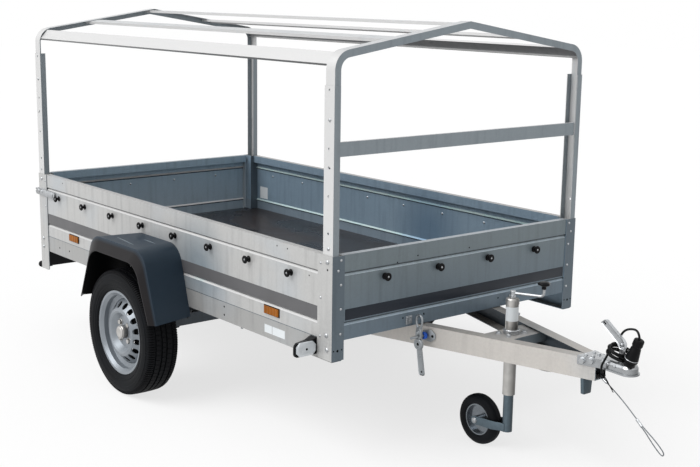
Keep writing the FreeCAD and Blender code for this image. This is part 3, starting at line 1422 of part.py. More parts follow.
def jockey_inner_tube():
    body = jockey_part("jockey_inner_tube")
    sketch = add_sketch(body, "XY", "jockey_fork_bottom")
    ring(sketch, "0", "0", "jockey_inner_radius")
    ring(sketch, "0", "0", "jockey_inner_radius - jockey_inner_wall")
    tube = body.newObject("PartDesign::Pad", "InnerTube")
    tube.Profile = sketch
    tube.setExpression("Length", bound("jockey_inner_top - jockey_fork_bottom"))
    body.Tip = tube
    parts.append(body)


def jockey_fork():
    body = jockey_part("jockey_fork")
    inner = "jockey_wheel_width / 2 + fork_gap"
    low = "jockey_fork_bottom"
    seat = "-(jockey_inner_radius + seat_gap)"
    for start in ("-(%s + fork_sheet)" % inner, inner):
        arm = [
            (seat, low),
            (seat, low + " + fork_height"),
            ("-(trail + fork_height / 2)", low + " + fork_height", "fork_height / 2 - seat_gap"),
            ("-(trail + fork_height / 2)", low, "fork_height / 2 - seat_gap"),
        ]
        pad(body, "XZ", start, "fork_sheet", arm)
    bridge = [
        (seat + " - fork_sheet", "-(%s + fork_sheet)" % inner),
        (seat, "-(%s + fork_sheet)" % inner),
        (seat, "%s + fork_sheet" % inner),
        (seat + " - fork_sheet", "%s + fork_sheet" % inner),
    ]
    pad(body, "XY", low, "fork_height", bridge)
    pin_half = "(%s + fork_sheet + fork_pin_reach)" % inner
    length = "2 * " + pin_half
    round_pad(body, "XZ", "-" + pin_half, length, "-trail", "jockey_wheel_radius", "jockey_pin_radius")
    parts.append(body)


def jockey_wheel_part(label):
    body = new_body(label)
    place(body, "rear_face + jockey_station - trail", "0", "jockey_wheel_radius")
    return body


def jockey_rim():
    body = jockey_wheel_part("jockey_rim")
    half = "jockey_wheel_width / 2"
    corners = [
        ("jockey_pin_radius + pin_play", "-(%s)" % half),
        ("jockey_hub_radius", "-(%s)" % half),
        ("jockey_hub_radius", "-jockey_disc_half"),
        ("jockey_rim_radius - jockey_rim_plate", "-jockey_disc_half"),
        ("jockey_rim_radius - jockey_rim_plate", "-jockey_rim_half"),
        ("jockey_rim_radius", "-jockey_rim_half"),
        ("jockey_rim_radius", "jockey_rim_half"),
        ("jockey_rim_radius - jockey_rim_plate", "jockey_rim_half"),
        ("jockey_rim_radius - jockey_rim_plate", "jockey_disc_half"),
        ("jockey_hub_radius", "jockey_disc_half"),
        ("jockey_hub_radius", half),
        ("jockey_pin_radius + pin_play", half),
    ]
    revolve(body, corners)
    parts.append(body)


def jockey_tyre():
    body = jockey_wheel_part("jockey_tyre")
    half = "jockey_wheel_width / 2"
    corners = [
        ("jockey_rim_radius", "-jockey_bead_half"),
        ("jockey_rim_radius + jockey_wall_rise", "-(%s)" % half, "jockey_wall_round"),
        ("jockey_wheel_radius - jockey_crown", "-(%s)" % half, "jockey_shoulder_round"),
        ("jockey_wheel_radius", "0", "jockey_tread_round"),
        ("jockey_wheel_radius - jockey_crown", half, "jockey_shoulder_round"),
        ("jockey_rim_radius + jockey_wall_rise", half, "jockey_wall_round"),
        ("jockey_rim_radius", "jockey_bead_half"),
    ]
    revolve(body, corners)
    parts.append(body)


def jockey_crank():
    body = jockey_part("jockey_crank")
    body.Placement.Rotation = FreeCAD.Rotation(FreeCAD.Vector(0, 0, 1), size("crank_turn"))
    base = "jockey_top + jockey_cap"
    round_pad(body, "XY", base, "crank_boss", "0", "0", "crank_boss_radius")
    rod = [
        ("-crank_tail", base + " + crank_rise"),
        ("crank_reach + crank_radius", base + " + crank_rise"),
        ("crank_reach + crank_radius", "crank_knob_height"),
        ("crank_reach - crank_radius", "crank_knob_height"),
        ("crank_reach - crank_radius", base + " + crank_rise + 2 * crank_radius"),
        ("-crank_tail", base + " + crank_rise + 2 * crank_radius"),
    ]
    pad(body, "YZ", "-crank_radius", "2 * crank_radius", rod)
    round_pad(body, "XY", "crank_knob_height - crank_knob_thick / 2", "crank_knob_thick", "0", "crank_reach",
              "crank_knob_radius")
    parts.append(body)


# Marker lamps at the front of the rails, side reflectors and tarpaulin knobs.
def marker_lamps():
    body = new_body("marker_lamps_half")
    profile = [
        ("-skin", "marker_bottom"),
        ("-skin", "marker_bottom + marker_height"),
        ("-(skin + marker_shoulder)", "marker_bottom + marker_height - marker_slope"),
        ("-(half_width + marker_reach)", "marker_bottom + marker_height - marker_slope", "marker_round"),
        ("-(half_width + marker_reach)", "marker_bottom", "marker_round"),
    ]
    start = "marker_station - marker_depth"
    pad(body, "YZ", start, "marker_depth", profile)
    behind = [
        ("marker_station - marker_edge", "-(half_width + marker_reach)"),
        (start, "-(half_width + marker_reach)"),
        (start, "-(skin + marker_root)"),
    ]
    pocket(body, "XY", "marker_bottom", "marker_height", behind)
    both_sides(body, "marker_lamps")


def side_reflectors():
    body = new_body("side_reflectors_half")
    for station in ("reflector_rear", "reflector_front"):
        face = box(station, "deck + reflector_rise", "reflector_length", "reflector_height")
        pad(body, "XZ", "-(skin + reflector_depth)", "reflector_depth", face)
    both_sides(body, "side_reflectors")


def knob(body, centre, height, outwards):
    # outwards is X for the front knobs and Y for the right-hand ones
    if outwards == "X":
        face = "bed_length - post_sheet"
        round_pad(body, "YZ", face, "knob_reach", centre, height, "knob_neck")
        round_pad(body, "YZ", face + " + knob_reach - knob_head", "knob_head", centre, height, "knob_radius")
    else:
        round_pad(body, "XZ", "-(skin + knob_reach)", "knob_reach", centre, height, "knob_neck")
        round_pad(body, "XZ", "-(skin + knob_reach)", "knob_head", centre, height, "knob_radius")


def tarp_knobs():
    side = new_body("tarp_knobs_half")
    for i in range(int(size("knob_side_count"))):
        knob(side, "knob_side_first + %d * knob_side_pitch" % i, "deck + knob_rise", "Y")
    front = new_body("tarp_knobs_front")
    for i in range(int(size("knob_end_count"))):
        knob(front, "(%d - (knob_end_count - 1) / 2) * knob_end_pitch" % i, "deck + knob_rise", "X")
    whole = both_sides(side, "tarp_knobs")
    whole.Links = whole.Links + [front]


# Tilt latches: on each arm a pull rod with an eye, a round cam and a hanging lever, all beside
# the arm, and on the bed's front a pair of hooks for the eye.
def tilt_latches():
    body = new_body("tilt_latches_half")
    outer = arm_face("latch_station", "-(latch_gap + latch_depth)")
    inner = arm_face("latch_station", "-latch_gap")
    depth = "latch_depth"
    head = "latch_eye_height - latch_block_rise"
    foot = "arm_top - latch_block_drop"
    block = [
        ("latch_station - latch_block_foot", foot),
        ("latch_station + latch_block_foot", foot),
        ("latch_station + latch_block_head", head),
        ("latch_station - latch_block_head", head),
    ]
    pad(body, "XZ", outer, depth, block)
    def eye(inset):
        low = "latch_eye_height - latch_eye_half_height + (%s)" % inset
        high = "latch_eye_height + latch_eye_half_height - (%s)" % inset
        rear = "latch_station - latch_eye_half + (%s)" % inset
        front = "latch_station + latch_eye_half - (%s)" % inset
        return [
            (rear, low, "latch_eye_foot_round - (%s)" % inset),
            (front, low, "latch_eye_foot_round - (%s)" % inset),
            (front, high, "latch_eye_round - (%s)" % inset),
            (rear, high, "latch_eye_round - (%s)" % inset),
        ]
    wire_start = "%s + %s / 2 - latch_wire / 2" % (outer, depth)
    pad(body, "XZ", wire_start, "latch_wire", eye("0"), eye("latch_wire"))
    cam_height = "arm_top - latch_cam_drop"
    round_pad(body, "XZ", outer, depth, "latch_station", cam_height, "latch_cam_radius")
    strut = box("latch_station - latch_strut_half", cam_height, "2 * latch_strut_half", "latch_strut")
    pad(body, "XZ", outer, depth, strut)
    lever_foot = "latch_station + latch_lever_lean"
    lever_bottom = cam_height + " - latch_lever"
    lever = [
        ("latch_station - latch_lever_half", cam_height),
        ("latch_station + latch_lever_half", cam_height),
        (lever_foot + " + latch_lever_half", lever_bottom, "latch_lever_round"),
        (lever_foot + " - latch_lever_half", lever_bottom, "latch_lever_round"),
    ]
    pad(body, "XZ", outer + " + latch_lever_inset", "latch_depth - 2 * latch_lever_inset", lever)
    rod_height = "arm_top - latch_rod_drop"
    rod_start = "%s - latch_rod_reach" % outer
    rod_end = arm_face("latch_station")
    rod_length = "%s - latch_plate / 2 - (%s)" % (rod_end, rod_start)
    round_pad(body, "XZ", rod_start, rod_length, "latch_station", rod_height, "latch_rod_radius")
    cap_start = "%s - latch_plate - latch_cap_length - latch_cap_gap" % rod_end
    round_pad(body, "XZ", cap_start, "latch_cap_length", "latch_station", rod_height, "latch_cap_radius")
    rear = "latch_station - latch_plate_rear"
    front = "latch_station + latch_plate_front"
    plate = [
        (rear, arm_face(rear, "-latch_plate")),
        (front, arm_face(front, "-latch_plate")),
        (front, arm_face(front)),
        (rear, arm_face(rear)),
    ]
    pad(body, "XY", rod_height + " - latch_plate_half", "2 * latch_plate_half", plate)
    both_sides(body, "tilt_latches")


def bed_latch_hooks():
    body = new_body("bed_latch_hooks_half")
    centre = arm_face("latch_station", "-(latch_gap + latch_depth / 2 + latch_hook_shift)")
    face = "bed_length - post_sheet"
    bottom = "deck + latch_hook_rise"
    hook = [
        (face, bottom),
        (face + " + latch_hook_reach", bottom, "latch_hook_round"),
        (face + " + latch_hook_reach", bottom + " + latch_hook_height", "latch_hook_round"),
        (face, bottom + " + latch_hook_height"),
    ]
    pad(body, "XZ", "%s - latch_hook_width / 2" % centre, "latch_hook_width", hook)
    both_sides(body, "bed_latch_hooks")


# Rubber clip under the coupling's neck, which holds the lighting lead and the safety rope.
def lead_clip():
    body = new_body("lead_clip")
    block = [
        ("-(neck_half + clip_outer)", "ball_height - clip_drop"),
        ("-(neck_half - clip_inner)", "ball_height - clip_drop"),
        ("-(neck_half - clip_inner)", "ball_height - lip_drop"),
        ("-(neck_half + clip_outer)", "ball_height - lip_drop"),
    ]
    pad(body, "YZ", "neck_station", "clip_length", block)
    parts.append(body)


# Lighting lead and safety rope. Each route is a list of points from the coupling ball, in
# units of cord_unit: ahead of it, to the left of it and above it.
LEAD_TO_COIL = [
    (-484, -98, -18),
    (-448, -73, -36),
    (-406, -49, -62),
    (-356, -36, -75),
    (-300, -24, -69),
    (-252, -6, -60),
    (-214, 0, -46),
    (-172, -2, -37),
    (-136, -3, -35),
    (-110, -6, -33),
    (-90, -20, -26),
    (-84, -38, -10),
    (-83, -43, 12),
    (-76, -36, 32),
    (-68, -31, 53.7),
]
LEAD_TO_PLUG = [
    (-65.2, 24, 84.7),
    (-65, 28, 110),
    (-50, 27, 132),
    (-26, 19, 145),
    (-1, 6, 153),
    (21, -5, 158),
    (36, -12.5, 156),
    (47, -18, 147),
    (51.6, -20.3, 133),
]
PLUG_TIP = (17, -22, 37)
SAFETY_ROPE = [
    (-85, -28, -36.5),
    (-33, -28, -67),
    (16, -28, -100),
    (68, -28, -141),
]
UPPER_FERRULE = [
    (-83, -28, -37.7),
    (-66, -28, -47.6),
]
LOWER_FERRULE = [
    (66, -28, -139.4),
    (90, -28, -160),
]
ROPE_EYE = [
    (85, -28, -153),
    (110, -28, -172.5),
    (145, -28, -184),
    (168, -28, -210),
    (183.5, -28, -224.5),
    (181, -28, -235.5),
    (170, -28, -233.5),
    (153, -28, -220),
    (125, -28, -195.5),
    (103, -28, -174),
    (81.5, -28, -156.5),
]


# share of the shorter run beside a bend that the bend takes
BEND_SHARE = 0.45


def cord_point(point):
    return FreeCAD.Vector(*point) * size("cord_unit")


def cord_tube(name, points, radius):
    # a round tube of straight runs and tangent arcs
    spots = [cord_point(point) for point in points]
    edges = []
    start = spots[0]
    bends = []
    for before, corner, after in zip(spots, spots[1:], spots[2:]):
        back = (before - corner).normalize()
        ahead = (after - corner).normalize()
        half_turn = (math.pi - back.getAngle(ahead)) / 2
        setback = BEND_SHARE * min((before - corner).Length, (after - corner).Length)
        bend = setback / math.tan(half_turn)
        bends.append("%.0f" % bend)
        first = corner + back * setback
        last = corner + ahead * setback
        middle = corner + (back + ahead).normalize() * (math.hypot(bend, setback) - bend)
        edges.append(Part.LineSegment(start, first).toShape())
        edges.append(Part.Arc(first, middle, last).toShape())
        start = last
    edges.append(Part.LineSegment(start, spots[-1]).toShape())
    path = Part.Wire(edges)
    section = Part.Wire([Part.makeCircle(size(radius), spots[0], spots[1] - spots[0])])
    tube = path.makePipeShell([section], True, False)
    ratio = tube.Volume / (path.Length * math.pi * size(radius) ** 2)
    print("%s: length %.0f, volume over section times length %.4f" % (name, path.Length, ratio))
    print("%s: bend radii %s" % (name, " ".join(bends)))
    return tube


def cord_feature(label, shape):
    feature = doc.addObject("Part::Feature", label)
    feature.Label = label
    feature.Shape = shape
    place(feature, "rear_face + ball_station", "0", "ball_height")
    parts.append(feature)


def lighting_lead():
    to_coil = cord_tube("lead to coil", LEAD_TO_COIL, "lead_radius")
    to_plug = cord_tube("lead to plug", LEAD_TO_PLUG, "lead_radius")
    cord_feature("lighting_lead", Part.makeCompound([to_coil, to_plug]))


def ferrule(points):
    # a crimped sleeve on the rope, between two points
    start, end = [cord_point(point) for point in points]
    way = end - start
    return Part.makeCylinder(size("ferrule_radius"), way.Length, start, way)


def safety_rope():
    # the rope, its two ferrules and the slender eye at its end
    rope = cord_tube("safety rope", SAFETY_ROPE, "rope_radius")
    eye = cord_tube("rope eye", ROPE_EYE, "rope_radius")
    cord_feature("safety_rope", rope.fuse([eye, ferrule(UPPER_FERRULE), ferrule(LOWER_FERRULE)]))


def lead_coil():
    body = new_body("lead_coil")
    place(body, "rear_face + coil_station", "0", "coil_height")
    body.Placement.Rotation = FreeCAD.Rotation(FreeCAD.Vector(0, 1, 0), size("coil_tilt"))
    sketch = add_sketch(body, "XY", "-coil_band / 2")
    ring(sketch, "0", "0", "coil_outer")
    ring(sketch, "0", "0", "coil_inner")
    band = body.newObject("PartDesign::Pad", "CoilBand")
    band.Profile = sketch
    band.setExpression("Length", bound("coil_band"))
    body.Tip = band
    parts.append(body)


def lead_plug():
    body = new_body("lead_plug")
    corners = [
        ("0", "0"),
        ("plug_tip_radius", "0"),
        ("plug_tip_radius", "plug_tip - plug_chamfer"),
        ("plug_radius", "plug_tip"),
        ("plug_radius", "plug_tip + plug_collar"),
        ("plug_waist", "plug_length - plug_cap - plug_groove - plug_chamfer"),
        ("plug_cap_radius - plug_chamfer", "plug_length - plug_cap - plug_groove"),
        ("plug_cap_radius - plug_chamfer", "plug_length - plug_cap"),
        ("plug_cap_radius", "plug_length - plug_cap + plug_chamfer"),
        ("plug_cap_radius", "plug_length - plug_chamfer"),
        ("plug_cap_radius - plug_chamfer", "plug_length"),
        ("0", "plug_length"),
    ]
    revolve(body, corners, "XZ")
    top = cord_point(LEAD_TO_PLUG[-1])
    axis = (top - cord_point(PLUG_TIP)).normalize()
    tip = top - axis * size("plug_length")
    place(body, "rear_face + ball_station + %.3f" % tip.x, "%.3f" % tip.y, "ball_height + %.3f" % tip.z)
    body.Placement.Rotation = FreeCAD.Rotation(FreeCAD.Vector(0, 0, 1), axis)
    parts.append(body)


def build():
    chassis_rail()
    floor_board()
    side_panel()
    front_panel()
    corner_post("corner_post_front", "bed_length", "-", "post_front_drop")
    corner_post("corner_post_rear", "0", "+", "post_rear_drop")
    cross_members()
    front_sill()
    rear_light_board()
    rear_lamps()
    rear_buffers()
    tailgate_panel()
    tailgate_hinges()
    tailgate_hinge_pins()
    tailgate_latches()
    axle_beam()
    wheel_tyre()
    wheel_rim()
    wheel_hub()
    fender()
    frame_posts()
    web_depth = "post_sheet + sleeve_sheet"
    hoop("hoop_front", "bed_length - %s - hoop_sheet" % web_depth.replace("+", "-"),
         "bed_length - %s - hoop_flange" % web_depth.replace("+", "-"))
    hoop("hoop_rear", web_depth, web_depth)
    roof_rails()
    front_crossbar()
    pivot_plates()
    drawbar_pivot()
    drawbar_arm()
    jockey_cross_plate()
    coupling_head()
    coupling_handle()
    drawbar_skid()
    jockey_outer_tube()
    jockey_nut()
    jockey_inner_tube()
    jockey_fork()
    jockey_rim()
    jockey_tyre()
    jockey_crank()
    marker_lamps()
    side_reflectors()
    tarp_knobs()
    tilt_latches()
    bed_latch_hooks()
    lead_clip()
    lead_coil()
    lead_plug()
    lighting_lead()
    safety_rope()


def check():
    for item in doc.Objects:
        if "Invalid" in item.State or "Error" in item.State:
            raise ValueError("%s failed: %s" % (item.Label, item.State))
    for part in parts:
        if part.Shape.isNull() or not part.Shape.isValid():
            raise ValueError("%s has no valid shape" % part.Label)


def export():
    os.makedirs("parts", exist_ok=True)
    for part in parts:
        part.Shape.exportStep("parts/%s.step" % part.Label)
        print("%-26s solids %d  volume %.0f" % (part.Label, len(part.Shape.Solids), part.Shape.Volume))
    print(len(parts), "sub-parts")


build()
doc.recompute()
check()
export()
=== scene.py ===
import json
import math

import bmesh
import bpy
from mathutils import Matrix, Vector


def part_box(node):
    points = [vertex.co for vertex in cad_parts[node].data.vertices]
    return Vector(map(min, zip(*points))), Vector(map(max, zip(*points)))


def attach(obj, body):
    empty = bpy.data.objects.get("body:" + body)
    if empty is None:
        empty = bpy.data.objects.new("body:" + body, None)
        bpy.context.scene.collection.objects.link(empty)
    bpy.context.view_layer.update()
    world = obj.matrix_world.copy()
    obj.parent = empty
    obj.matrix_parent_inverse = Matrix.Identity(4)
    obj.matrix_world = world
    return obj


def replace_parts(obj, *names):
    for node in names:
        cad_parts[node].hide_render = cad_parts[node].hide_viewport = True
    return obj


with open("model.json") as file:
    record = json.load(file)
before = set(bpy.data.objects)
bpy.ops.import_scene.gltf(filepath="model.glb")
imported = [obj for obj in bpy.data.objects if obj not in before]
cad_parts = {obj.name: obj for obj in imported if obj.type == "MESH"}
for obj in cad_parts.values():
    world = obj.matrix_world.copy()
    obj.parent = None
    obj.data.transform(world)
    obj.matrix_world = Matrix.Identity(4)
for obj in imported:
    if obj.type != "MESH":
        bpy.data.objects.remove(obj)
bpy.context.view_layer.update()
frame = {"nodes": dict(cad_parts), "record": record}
nodes = frame["nodes"]
mm = 0.001
sides = (-1, 1)  # right, left

# stations run forward from the rear face of the load bed, as on the drawing
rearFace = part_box("corner_post_rear_right")[0].x


def spot(station, y, z):
    return Vector((rearFace + station * mm, y * mm, z * mm))


def mirrored(side, places):
    return [spot(x, side * y, z) for x, y, z in places]


def linear(hexColour):
    parts = [int(hexColour[i:i + 2], 16) / 255 for i in (1, 3, 5)]
    return [c / 12.92 if c <= 0.04045 else ((c + 0.055) / 1.055) ** 2.4 for c in parts] + [1.0]


def addNode(tree, kind, links=None, **settings):
    # links holds a value, a hex colour or another node's socket for each input
    node = tree.nodes.new(kind)
    for name, value in settings.items():
        setattr(node, name, value)
    for name, value in (links or {}).items():
        if isinstance(value, bpy.types.NodeSocket):
            tree.links.new(value, node.inputs[name])
        else:
            node.inputs[name].default_value = linear(value) if isinstance(value, str) else value
    return node


def ramp(tree, value, low, high, start=0.0, end=1.0):
    return addNode(tree, "ShaderNodeMapRange", {"Value": value, "From Min": low, "From Max": high, "To Min": start,
                                                "To Max": end}).outputs[0]


def combine(tree, first, second, kind="MULTIPLY"):
    return addNode(tree, "ShaderNodeMath", {0: first, 1: second}, operation=kind).outputs[0]


def blend(tree, part, first, second, kind="MIX"):
    return addNode(tree, "ShaderNodeMix", {"Factor": part, 6: first, 7: second}, data_type="RGBA",
                   blend_type=kind).outputs[2]


def vectors(tree, kind, first, second=(0, 0, 0)):
    # second is the factor when the kind is SCALE
    node = addNode(tree, "ShaderNodeVectorMath", {0: first, "Scale" if kind == "SCALE" else 1: second}, operation=kind)
    return node.outputs["Value" if kind in ("DISTANCE", "DOT_PRODUCT") else "Vector"]


def noise(tree, place, scale, detail=2.0, distortion=0.0):
    return addNode(tree, "ShaderNodeTexNoise", {"Vector": place, "Scale": scale, "Detail": detail,
                                                "Distortion": distortion}).outputs["Fac"]


def bump(tree, height, strength, distance):
    return addNode(tree, "ShaderNodeBump", {"Height": height, "Strength": strength, "Distance": distance}).outputs[0]


def wire(tree, shader, **sources):
    for socket, source in sources.items():
        tree.links.new(source, shader.inputs[socket.replace("_", " ")])


# camera and light
view = {
    "position": (3.987, -3.1855, 1.7181),
    "azimuth": 50.68,
    "elevation": 11.46,
    "roll": 0.86,
    "lens": 61.05,
}
studio = {
    "skyStrength": 0.52,
    "sunStrength": 2.2,
    "sunFrom": (-0.25, -0.86, 0.9),
    "sunAngle": 50,
    "floorColour": "#FFFFFF",
    "floorRoughness": 0.9,
    "floorSpecular": 0.1,
    "floorGlow": 0.72,
}


def addCamera():
    azimuth, elevation, roll = (math.radians(view[k]) for k in ("azimuth", "elevation", "roll"))
    back = Vector((math.sin(azimuth) * math.cos(elevation), -math.cos(azimuth) * math.cos(elevation),
                   math.sin(elevation)))
    right = Vector((math.cos(azimuth), math.sin(azimuth), 0))
    columns = Matrix((right, back.cross(right), back)).transposed().to_4x4()
    camera = bpy.data.objects.new("camera", bpy.data.cameras.new("camera"))
    camera.data.lens = view["lens"]
    camera.data.sensor_width = 36
    camera.data.clip_end = 60
    camera.matrix_world = Matrix.Translation(view["position"]) @ columns @ Matrix.Rotation(roll, 4, "Z")
    bpy.context.scene.collection.objects.link(camera)
    bpy.context.scene.camera = camera


def directRay(tree):
    # one for rays that come straight from the camera or through a mirror or glass
    path = addNode(tree, "ShaderNodeLightPath").outputs
    seen = combine(tree, path["Is Camera Ray"], path["Is Glossy Ray"], "MAXIMUM")
    return combine(tree, seen, path["Is Transmission Ray"], "MAXIMUM")


def addStudio():
    world = bpy.data.worlds.new("studio")
    bpy.context.scene.world = world
    world.use_nodes = True
    tree = world.node_tree
    tree.nodes.clear()
    strength = ramp(tree, directRay(tree), 0, 1, studio["skyStrength"], 1.0)
    sky = addNode(tree, "ShaderNodeBackground", {"Color": "#FFFFFF", "Strength": strength})
    addNode(tree, "ShaderNodeOutputWorld", {"Surface": sky.outputs[0]})
    sun = bpy.data.objects.new("softSun", bpy.data.lights.new("softSun", "SUN"))
    sun.data.energy = studio["sunStrength"]
    sun.data.angle = math.radians(studio["sunAngle"])
    sun.rotation_euler = Vector(studio["sunFrom"]).to_track_quat("Z", "Y").to_euler()
    bpy.context.scene.collection.objects.link(sun)

    form = bmesh.new()
    bmesh.ops.create_grid(form, x_segments=1, y_segments=1, size=30)
    mesh = bpy.data.meshes.new("studioFloor")
    form.to_mesh(mesh)
    form.free()
    floor = bpy.data.objects.new("studioFloor", mesh)
    bpy.context.scene.collection.objects.link(floor)
    material = bpy.data.materials.new("paleStudioFloor")
    material.use_nodes = True
    tree = material.node_tree
    shader = tree.nodes["Principled BSDF"]
    shader.inputs["Base Color"].default_value = linear(studio["floorColour"])
    shader.inputs["Roughness"].default_value = studio["floorRoughness"]
    shader.inputs["Specular IOR Level"].default_value = studio["floorSpecular"]
    share = combine(tree, directRay(tree), studio["floorGlow"])
    glow = addNode(tree, "ShaderNodeEmission", {"Color": "#FFFFFF", "Strength": 1.0})
    pale = addNode(tree, "ShaderNodeMixShader", {0: share, 1: shader.outputs[0], 2: glow.outputs[0]})
    wire(tree, tree.nodes["Material Output"], Surface=pale.outputs[0])
    mesh.materials.append(material)


addCamera()
addStudio()
bpy.context.scene.view_settings.view_transform = "Standard"
print("camera and studio ready")


# materials: every pattern is in Object coordinates, in metres, so a scale of 1000 / 8 gives 8 mm cells
def newMaterial(name, colour, roughness, metallic=0.0, **sockets):
    material = bpy.data.materials.new(name)
    material.use_nodes = True
    tree = material.node_tree
    shader = tree.nodes["Principled BSDF"]
    for socket, value in {"Base_Color": linear(colour), "Roughness": roughness, "Metallic": metallic,
                          **sockets}.items():
        shader.inputs[socket.replace("_", " ")].default_value = value
    return material, tree, shader, addNode(tree, "ShaderNodeTexCoord").outputs["Object"]


# hot-dip galvanised sheet: a matt zinc skin with faint spangle and soft upright streaks; painted shade makes faces that
# look ahead of the trailer, into the bed or to the rear duller and bluer than the sides, and darkens flat tops
galvanised = {
    "spangleSize": 7,
    "streakWidth": 26,
    "streak": "#8E9092",
    "cloud": "#A3AEB8",
    "roughness": 0.46,
    "litBead": 2.1,
    "shadedBead": 0.3,
    "paintedTopShade": 0.4,
    "palest": 0.62,
    "lowBand": "#8797A4",
    "lowBandTop": 0.552,
    "paintedFenderShade": "#B4C6D4",
    "paintedFenderShadeCentre": (-0.1, 0.0, 0.6),
    "paintedFenderShadeReach": 0.26,
}


def galvanisedSheet(name, side, front, inside=None, behind=None, low=None, streakDepth=0.22, lowInside=None,
                    paintedFenderShade=False):
    material, tree, shader, place = newMaterial(name, side, galvanised["roughness"], 0.3)
    spangle = addNode(tree, "ShaderNodeTexVoronoi", {"Vector": place,
                                                     "Scale": 1000 / galvanised["spangleSize"]}).outputs["Color"]
    soft = noise(tree, place, 3.1, 3.0)
    stretch = addNode(tree, "ShaderNodeMapping", {"Vector": place, "Scale": (1.0, 1.0, 0.08)}).outputs[0]
    streaks = noise(tree, stretch, 1000 / galvanised["streakWidth"], 5.0)
    normal = addNode(tree, "ShaderNodeNewGeometry").outputs["Normal"]
    facing = addNode(tree, "ShaderNodeSeparateXYZ", {0: normal}).outputs
    where = addNode(tree, "ShaderNodeSeparateXYZ", {0: place}).outputs
    colour = blend(tree, ramp(tree, soft, 0.5, 0.8, 0, 0.5), side, galvanised["cloud"])
    # painted shade: faces that look ahead take the front tone, which goes to the low tone towards the bottom where one
    # is given
    frontShadeTone = front
    if low:
        frontShadeTone = blend(tree, ramp(tree, where["Z"], 0.5, 0.76), low, front)
    colour = blend(tree, ramp(tree, facing["X"], 0.35, 0.8), colour, frontShadeTone)
    # painted shade on faces that look to the rear
    if behind:
        colour = blend(tree, ramp(tree, facing["X"], -0.35, -0.8), colour, behind)
    # painted shade on faces that look into the bed
    if inside:
        # the band between the lowest bead and the floor catches light from the floor board
        inward = combine(tree, combine(tree, where["Y"], 0, "SIGN"), facing["Y"])
        above = ramp(tree, where["Z"], galvanised["lowBandTop"], galvanised["lowBandTop"] + 0.008)
        insideShadeTone = blend(tree, above, lowInside or inside, inside)
        colour = blend(tree, ramp(tree, inward, -0.2, -0.7), colour, insideShadeTone)
    colour = blend(tree, ramp(tree, streaks, 0.5, 0.74, 0, streakDepth), colour, galvanised["streak"],
                   "MULTIPLY")
    # painted shadow: a darker, bluer patch on the sheet beside the fender's front, which fades out with distance
    if paintedFenderShade:
        flat = addNode(tree, "ShaderNodeCombineXYZ", {0: where["X"], 2: where["Z"]}).outputs[0]
        away = vectors(tree, "DISTANCE", flat, galvanised["paintedFenderShadeCentre"])
        colour = blend(tree, ramp(tree, away, 0.05, galvanised["paintedFenderShadeReach"], 0.8, 0), colour,
                       galvanised["paintedFenderShade"], "MULTIPLY")
    level = combine(tree, ramp(tree, spangle, 0, 1, 0.95, 1.05), ramp(tree, soft, 0, 1, 0.92, 1.06))
    # painted light and shade on the pressed beads: the upper slanting face is darkened as if in shade, the lower one
    # lightened as if it caught the light; flat tops are darkened as painted shade
    for start, end, first, last in ((0.3, 0.6, 1, galvanised["litBead"]), (0.86, 0.96, 1, galvanised["paintedTopShade"]),
                                    (-0.6, -0.3, galvanised["shadedBead"], 1)):
        level = combine(tree, level, ramp(tree, facing["Z"], start, end, first, last))
    colour = vectors(tree, "MINIMUM", vectors(tree, "SCALE", colour, level), (galvanised["palest"],) * 3)
    wire(tree, shader, Base_Color=colour, Roughness=ramp(tree, spangle, 0, 1, 0.38, 0.54),
         Normal=bump(tree, soft, 0.2, 0.003))
    return material


# bright zinc plating on forgings and pressings: smooth, with cloudy passivation; painted shade darkens faces that look
# down by side, and a painted highlight lightens faces that look up
def zincPlate(name, colour, roughness=0.32, patchSize=14, side=0.8, turned=1.0):
    material, tree, shader, place = newMaterial(name, colour, roughness, 0.85)
    clouds = noise(tree, place, 1000 / patchSize)
    normal = addNode(tree, "ShaderNodeNewGeometry").outputs["Normal"]
    upward = addNode(tree, "ShaderNodeSeparateXYZ", {0: normal}).outputs["Z"]
    level = combine(tree, ramp(tree, clouds, 0.3, 0.7, 0.86, 1.06), ramp(tree, upward, -0.2, 0.45, side, 1.1))
    # painted reflection: faces that look towards the trailer's left are darkened by turned, as round steel mirroring a
    # dark side of the room
    across = vectors(tree, "DOT_PRODUCT", normal, (0.5, 0.86, 0.0))
    level = combine(tree, level, ramp(tree, across, -0.55, 0.5, 1.0, turned))
    wire(tree, shader, Base_Color=vectors(tree, "SCALE", linear(colour)[:3], level),
         Roughness=ramp(tree, clouds, 0, 1, roughness - 0.1, roughness + 0.14))
    return material


# plain plastics, rubbers and paints with a fine grain and slight soiling
def grainedSurface(name, colour, roughness, grainSize, grainDepth, soil, metallic, **sockets):
    material, tree, shader, place = newMaterial(name, colour, roughness, metallic, **sockets)
    grain = noise(tree, place, 1000 / grainSize)
    patches = noise(tree, place, 9.0, 4.0)
    wire(tree, shader, Normal=bump(tree, grain, 0.4, grainDepth * mm),
         Base_Color=blend(tree, ramp(tree, patches, 0.4, 0.75, 0, 0.55), colour, soil),
         Roughness=ramp(tree, patches, 0, 1, roughness - 0.06, roughness + 0.1))
    return material


# birch plywood with a brown phenolic film: dark, slightly glossy, a fine wire-mesh print
def phenolicFloor():
    material, tree, shader, place = newMaterial("phenolicPlywood", "#2B2526", 0.3, Specular_IOR_Level=0.3)
    mesh = addNode(tree, "ShaderNodeTexVoronoi", {"Vector": place, "Scale": 1000 / 3.0, "Randomness": 0.0},
                   distance="CHEBYCHEV")
    cloud = noise(tree, place, 2.6, 6.0, 0.6)
    wire(tree, shader, Normal=bump(tree, mesh.outputs["Distance"], 0.25, 0.0004),
         Base_Color=blend(tree, ramp(tree, cloud, 0.4, 0.68), "#211E21", "#3B3432"),
         Roughness=ramp(tree, cloud, 0.35, 0.7, 0.22, 0.42))
    return material


